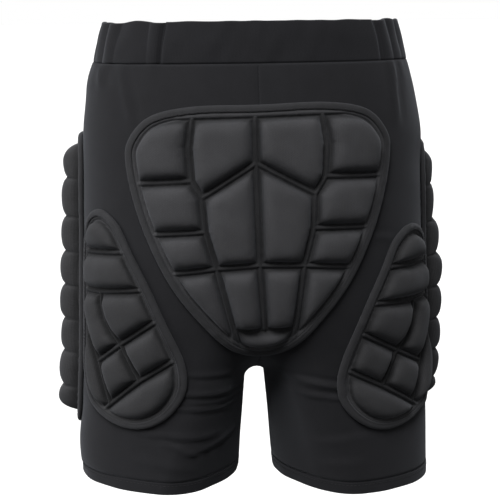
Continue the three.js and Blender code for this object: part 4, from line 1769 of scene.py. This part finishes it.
class Graph:
    """The node tree of a material or a world, emptied and built up by code."""

    CLOUD_ROUGHNESS = 0.55

    def __init__(self, owner: bpy.types.Material | bpy.types.World) -> None:
        """Starts an empty tree on a material or a world.

        Args:
            owner: the material or world.
        """
        owner.use_nodes = True
        self.tree = owner.node_tree
        self.tree.nodes.clear()

    def node(self, kind: str, settings: dict | None = None, inputs: dict | None = None) -> bpy.types.Node:
        """Adds a node.

        Args:
            kind: type of the node.
            settings: attributes, set first.
            inputs: values or links of its sockets, by name or number.

        Returns:
            The node.
        """
        made = self.tree.nodes.new(kind)
        for name, setting in (settings or {}).items():
            setattr(made, name, setting)
        for key, value in (inputs or {}).items():
            source = value.socket if isinstance(value, Signal) else value
            if isinstance(source, bpy.types.NodeSocket):
                self.tree.links.new(source, made.inputs[key])
            else:
                made.inputs[key].default_value = source
        return made

    def value(
        self, kind: str, settings: dict | None = None, inputs: dict | None = None, output: int = 0
    ) -> Signal:
        """Adds a node and wraps one of its outputs."""
        return Signal(self, self.node(kind, settings, inputs).outputs[output])

    def cloth_place(self) -> tuple[Signal, Signal, bpy.types.NodeSocket]:
        """Place on the cloth, from the UV map.

        Returns:
            Distances along and across in millimetres, and the two as a vector.
        """
        place = self.node("ShaderNodeUVMap", {"uv_map": UV_MAP}).outputs[0]
        parts = self.node("ShaderNodeSeparateXYZ", None, {0: place})
        return Signal(self, parts.outputs[0]), Signal(self, parts.outputs[1]), place

    def cloud(self, place: bpy.types.NodeSocket, size: float, detail: float = 2.0) -> Signal:
        """Noise about 0, between about -0.5 and 0.5, with features of a size in the place's units."""
        inputs = {"Vector": place, "Scale": 1 / size, "Detail": detail, "Roughness": self.CLOUD_ROUGHNESS}
        return self.value("ShaderNodeTexNoise", None, inputs) - 0.5

    def object_place(self) -> bpy.types.NodeSocket:
        """Place on the object in metres."""
        return self.node("ShaderNodeTexCoord").outputs["Object"]

    def show(self, inputs: dict) -> None:
        """Ends a material with a Principled shader that has these inputs."""
        shader = self.node("ShaderNodeBsdfPrincipled", None, inputs)
        self.node("ShaderNodeOutputMaterial", None, {"Surface": shader.outputs[0]})


@dataclass(frozen=True)
class Finish:
    """A dull cloth: colour, roughness and sheen, with a tone and a relief that each kind of cloth gives."""

    name: str
    colour: tuple[float, float, float]
    roughness: float
    sheen: float
    specular: float = 0.25
    sheen_roughness: float = 0.45
    sheen_tint: tuple[float, float, float, float] = (0.86, 0.9, 1.0, 1.0)
    patchiness: float = 0.45
    patch_size: float = 0.045
    patch_detail: float = 3.0
    patch_roughness: float = 0.12
    mottle_size: float = 0.013
    mottle_share: float = 0.7

    def weave(self, graph: Graph) -> tuple[Signal, Signal]:
        """Tone of the thread, about 1, and height of the weave in millimetres."""
        raise NotImplementedError

    def material(self) -> bpy.types.Material:
        """Builds the shader: colour times tone, with the weave's relief as a bump.

        Returns:
            The material.
        """
        made = bpy.data.materials.new(self.name)
        graph = Graph(made)
        tone, height = self.weave(graph)
        cloud = graph.cloud(graph.object_place(), self.patch_size, self.patch_detail)
        mottle = graph.cloud(graph.object_place(), self.mottle_size)
        tone = tone + cloud * self.patchiness + mottle * (self.patchiness * self.mottle_share)
        scaled = {"Vector": self.colour, "Scale": tone}
        raised = {"Strength": 1.0, "Distance": MM, "Height": height}
        inputs = {
            "Base Color": graph.node("ShaderNodeVectorMath", {"operation": "SCALE"}, scaled).outputs[0],
            "Roughness": self.roughness + cloud * self.patch_roughness,
            "Normal": graph.node("ShaderNodeBump", None, raised).outputs[0],
            "Specular IOR Level": self.specular,
            "Sheen Weight": self.sheen,
            "Sheen Roughness": self.sheen_roughness,
            "Sheen Tint": self.sheen_tint,
        }
        graph.show(inputs)
        return made


@dataclass(frozen=True)
class KnitFinish(Finish):
    """Fine jersey: upright ribs crossed by softer courses, with a slight fuzz."""

    rib: float = 1.1
    course: float = 0.85
    course_bend: float = 1.3
    rib_height: float = 0.035
    course_height: float = 0.021
    fuzz_height: float = 0.06
    fuzz_size: float = 1.6
    fuzz_detail: float = 3.0
    rib_tone: float = 0.06
    course_tone: float = 0.05
    fuzz_tone: float = 0.3

    def weave(self, graph: Graph) -> tuple[Signal, Signal]:
        """Ribs and courses as cosines, the courses bent by the ribs.

        Args:
            graph: node tree of the material.

        Returns:
            Tone of the thread, and height of the weave.
        """
        along, down, place = graph.cloth_place()
        ribs = (along * (FULL_TURN / self.rib)).cosine()
        courses = (down * (FULL_TURN / self.course) + ribs * self.course_bend).cosine()
        fuzz = graph.cloud(place, self.fuzz_size, self.fuzz_detail)
        tone = 1.0 + ribs * self.rib_tone + courses * self.course_tone + fuzz * self.fuzz_tone
        return tone, ribs * self.rib_height + courses * self.course_height + fuzz * self.fuzz_height


@dataclass(frozen=True)
class MeshFinish(Finish):
    """Air mesh: round holes in a close six-sided layout, dark inside, with painted shade that darkens the
    yarn where the cover is little raised, in its grooves and on its border.
    """

    pitch: float = 1.3
    depth: float = 0.1
    hole_span: tuple[float, float] = (0.6, 1.9)
    hole_dark: float = 0.3
    grain_size: float = 1.3
    grain_tone: float = 0.6
    grain_height: float = 0.12
    # Swell shares over which the painted shade fades out, and how dark the painted shade gets at most
    painted_shade_span: tuple[float, float] = (0.02, 0.55)
    painted_shade_dark: float = 0.6

    def weave(self, graph: Graph) -> tuple[Signal, Signal]:
        """Holes where three cosines at 60 degrees to each other add up, and painted shade where the cover is
        little raised.

        Args:
            graph: node tree of the material.

        Returns:
            Tone of the thread with its painted shade, and height of the weave.
        """
        along, down, place = graph.cloth_place()
        turn = FULL_TURN / self.pitch
        half_along, slant_down = along * 0.5, down * math.sin(math.pi / 3)
        waves = (along * turn).cosine()
        waves = waves + ((half_along + slant_down) * turn).cosine()
        waves = waves + ((half_along - slant_down) * turn).cosine()
        hole = waves.step(*self.hole_span)
        grain = graph.cloud(place, self.grain_size)
        # Painted shade: the colour darkens where the swell share is low, in the grooves and on the border,
        # standing in for the shade there
        swell = graph.value("ShaderNodeAttribute", {"attribute_name": SWELL}, output=2)
        painted_groove_shade = 1.0 - swell.step(*self.painted_shade_span)
        tone = (1.0 - hole * self.hole_dark + grain * self.grain_tone) * (1.0 - painted_groove_shade * self.painted_shade_dark)
        return tone, (1.0 - hole) * self.depth + grain * self.grain_height


@dataclass(frozen=True)
class TapeFinish(Finish):
    """Woven tape: a slanting twill with close weft lines."""

    twill: float = 1.25
    twill_tone: float = 0.14
    twill_height: float = 0.05
    weft: float = 0.6
    weft_tone: float = 0.06
    weft_height: float = 0.02
    fuzz_size: float = 1.0
    fuzz_tone: float = 0.3
    fuzz_height: float = 0.04

    def weave(self, graph: Graph) -> tuple[Signal, Signal]:
        """Slanting ribs and cross lines as cosines.

        Args:
            graph: node tree of the material.

        Returns:
            Tone of the thread, and height of the weave.
        """
        along, across, place = graph.cloth_place()
        slant = ((along + across) * (FULL_TURN / self.twill)).cosine()
        lines = (along * (FULL_TURN / self.weft)).cosine()
        fuzz = graph.cloud(place, self.fuzz_size)
        tone = 1.0 + slant * self.twill_tone + lines * self.weft_tone + fuzz * self.fuzz_tone
        return tone, slant * self.twill_height + lines * self.weft_height + fuzz * self.fuzz_height


@dataclass(frozen=True)
class ThreadFinish(Finish):
    """Sewing thread: two plies that wind round each other."""

    ply: float = 0.5
    ply_slant: float = 1.5
    ply_tone: float = 0.2
    ply_height: float = 0.03
    fuzz_size: float = 0.8
    fuzz_tone: float = 0.2

    def weave(self, graph: Graph) -> tuple[Signal, Signal]:
        """Slanting ply lines as a cosine.

        Args:
            graph: node tree of the material.

        Returns:
            Tone of the thread, and height of the weave.
        """
        along, across, place = graph.cloth_place()
        plies = ((along + across * self.ply_slant) * (FULL_TURN / self.ply)).cosine()
        tone = 1.0 + plies * self.ply_tone + graph.cloud(place, self.fuzz_size) * self.fuzz_tone
        return tone, plies * self.ply_height


KNIT = KnitFinish("knit", colour=(0.0102, 0.0102, 0.0119), roughness=0.9, sheen=0.12)
ELASTIC_KNIT = KnitFinish(
    "elastic_knit", colour=(0.0095, 0.0095, 0.0113), roughness=0.9, sheen=0.12, rib=1.4, course=1.0
)
SEAT_COVER = MeshFinish("mesh_cover", colour=(0.042, 0.042, 0.045), roughness=0.88, sheen=0.12)
# Painted shade: the thigh and hip guards get a darker copy of the seat's mesh cover, standing in for the
# shade on those sideways guards
SHADED_SIDE_COVER = MeshFinish("shaded_side_mesh_cover", colour=(0.0325, 0.0325, 0.0345), roughness=0.88, sheen=0.1)
EDGE_TAPE = TapeFinish("edge_tape", colour=(0.024, 0.024, 0.026), roughness=0.85, sheen=0.12)
SEWING_THREAD = ThreadFinish("thread", colour=(0.026, 0.026, 0.028), roughness=0.7, sheen=0.0)


@dataclass(frozen=True)
class Lamp:
    """A distant soft light: where it comes from, how wide it looks and how strong it is."""

    name: str
    bearing: float
    elevation: float
    spread: float
    strength: float

    def build(self) -> None:
        """Adds the light, its local Z pointing back to where the light comes from."""
        data = bpy.data.lights.new(self.name, "SUN")
        data.angle = math.radians(self.spread)
        data.energy = self.strength
        lamp = bpy.data.objects.new(self.name, data)
        rise = math.radians(self.elevation)
        back = turned(self.bearing) * math.cos(rise) + np.array([0.0, 0.0, math.sin(rise)])
        right = turned(self.bearing + QUARTER_CIRCLE)
        axes = np.stack([right, np.cross(back, right), back], axis=1)
        lamp.matrix_world = Matrix(axes.tolist()).to_4x4()
        bpy.context.scene.collection.objects.link(lamp)


@dataclass
class Studio:
    """Pale floor, soft light, and a camera behind the shorts at waist height that looks a little down."""

    distance: float = 1.35
    yaw: float = -4.0
    tilt: float = 9.35
    roll: float = -0.7
    focal_px: float = 1395.0
    frame_px: float = 500.0
    pan_px: float = 2.5
    sensor: float = 36.0
    sight: float = 2000.0
    floor_z: float = -1.05
    floor_half: float = 500.0
    floor_tone: float = 0.93
    floor_patch: float = 0.02
    floor_patch_size: float = 1.5
    floor_roughness: float = 0.9
    overhead: float = 0.16
    overhead_span: tuple[float, float] = (0.03, 0.25)
    below: float = 0.05
    below_span: tuple[float, float] = (-0.08, -0.02)
    lamps: tuple[Lamp, ...] = (
        Lamp("key_light", -20.0, 50.0, 30.0, 3.1),
        Lamp("side_light", -86.0, 24.0, 40.0, 1.6),
        Lamp("front_light", 165.0, 50.0, 60.0, 1.2),
    )

    def camera(self) -> None:
        """Sets the camera by its yaw round the shorts, tilt, roll and a small pan that centres the view."""
        yaw, tilt, roll = (math.radians(a) for a in (self.yaw, self.tilt, self.roll))
        pan = math.atan(self.pan_px / self.focal_px)
        level = np.array([math.cos(yaw), math.sin(yaw), 0.0])
        ahead = np.array([-math.sin(yaw) * math.cos(tilt), math.cos(yaw) * math.cos(tilt), -math.sin(tilt)])
        above = np.cross(level, ahead)
        right = level * math.cos(roll) + above * math.sin(roll)
        up = above * math.cos(roll) - level * math.sin(roll)
        forward = ahead * math.cos(pan) - right * math.sin(pan)
        right = right * math.cos(pan) + ahead * math.sin(pan)
        data = bpy.data.cameras.new("camera")
        data.sensor_width = self.sensor
        data.lens = self.focal_px / self.frame_px * self.sensor
        data.clip_end = self.sight
        camera = bpy.data.objects.new("camera", data)
        place = (math.sin(yaw) * self.distance, -math.cos(yaw) * self.distance, 0.0)
        axes = np.stack([right, up, -forward], axis=1)
        camera.matrix_world = Matrix.Translation(place) @ Matrix(axes.tolist()).to_4x4()
        bpy.context.scene.collection.objects.link(camera)
        bpy.context.scene.camera = camera

    def floor(self) -> None:
        """Lays a wide pale floor as far below as a wearer's feet, which throws no light back up."""
        half, z = self.floor_half, self.floor_z
        corners = [(-half, -half, z), (half, -half, z), (half, half, z), (-half, half, z)]
        mesh = bpy.data.meshes.new("floor")
        mesh.from_pydata(corners, [], [(0, 1, 2, 3)])
        made = bpy.data.materials.new("pale_floor")
        graph = Graph(made)
        shade = self.floor_tone + graph.cloud(graph.object_place(), self.floor_patch_size) * self.floor_patch
        colour = graph.node("ShaderNodeCombineXYZ", None, {0: shade, 1: shade, 2: shade}).outputs[0]
        graph.show({"Base Color": colour, "Roughness": self.floor_roughness})
        mesh.materials.append(made)
        floor = bpy.data.objects.new("floor", mesh)
        floor.visible_diffuse = False
        floor.visible_glossy = False
        bpy.context.scene.collection.objects.link(floor)

    def light(self) -> None:
        """Sets a surround that is white at eye level and dim above and below, and the lamps."""
        world = bpy.data.worlds.new("surround")
        graph = Graph(world)
        height = graph.value("ShaderNodeSeparateXYZ", None, {0: graph.object_place()}, 2)
        above = 1.0 - height.step(*self.overhead_span) * (1 - self.overhead)
        strength = self.below + height.step(*self.below_span) * (above - self.below)
        inputs = {"Color": (1.0, 1.0, 1.0, 1.0), "Strength": strength}
        background = graph.node("ShaderNodeBackground", None, inputs)
        graph.node("ShaderNodeOutputWorld", None, {"Surface": background.outputs[0]})
        bpy.context.scene.world = world
        bpy.context.scene.view_settings.view_transform = "Standard"
        for lamp in self.lamps:
            lamp.build()

    def build(self) -> None:
        """Sets up the floor, the light and the camera."""
        self.camera()
        self.floor()
        self.light()


def build_guards(seat_cloths: GuardCloths, shaded_side_cloths: GuardCloths) -> None:
    """Makes the seat guard and both thigh and hip guards.

    Args:
        seat_cloths: what the seat guard is sewn from.
        shaded_side_cloths: what the thigh and hip guards are sewn from.
    """
    seat, thigh, hip = SeatPattern(), ThighPattern(), HipPattern()
    corners = seat.laid(mirrored(np.array(seat.outline, float)))
    Guard("seat_pad", corners, seat.cells(), Placing(0.0), seat.grid, seat_cloths, seat.seed).build()
    # The thigh and hip guards wear the darker copy of the cover, as painted shade
    for side, worn in WORN.items():
        corners = thigh.laid(np.array(thigh.outline, float), worn)
        placing = Placing(side.sign * thigh.bearing, side.sign)
        name, seed = f"thigh_pad_{side.label}", thigh.seed + side.sign
        Guard(name, corners, thigh.cells(worn), placing, thigh.grid, shaded_side_cloths, seed).build()
    for side, worn in WORN.items():
        corners = hip.laid(mirrored(np.array(hip.outline, float)), worn)
        placing = Placing(side.sign * worn.hip_bearing, side.sign, worn.hip_middle)
        name, seed = f"hip_pad_{side.label}", hip.seed + side.sign
        bars = hip.cells(worn)
        Guard(name, corners, bars, placing, hip.grid, shaded_side_cloths, seed, hip.groove_share, hip.make).build()


def main() -> None:
    """Builds the studio, the finishes and the shorts in order."""
    logging.basicConfig(level=logging.INFO, format="%(name)s: %(message)s")
    Studio().build()
    knit, elastic = KNIT.material(), ELASTIC_KNIT.material()
    # The side guards' cover is the seat's mesh made darker, as painted shade
    seat_cover, shaded_side_cover = SEAT_COVER.material(), SHADED_SIDE_COVER.material()
    tape, thread = EDGE_TAPE.material(), SEWING_THREAD.material()
    gathers = Gathers()
    pieces = {"band": Waistband(elastic, gathers).build()}
    for side in Side:
        pieces[f"shell_{side.label}"] = [ShellHalf(side, knit, gathers).build()]
        pieces[f"hem_{side.label}"] = LegHem(side, knit, thread).build()
    build_guards(GuardCloths(seat_cover, tape, thread), GuardCloths(shaded_side_cover, tape, thread))


if __name__ == "__main__":
    main()
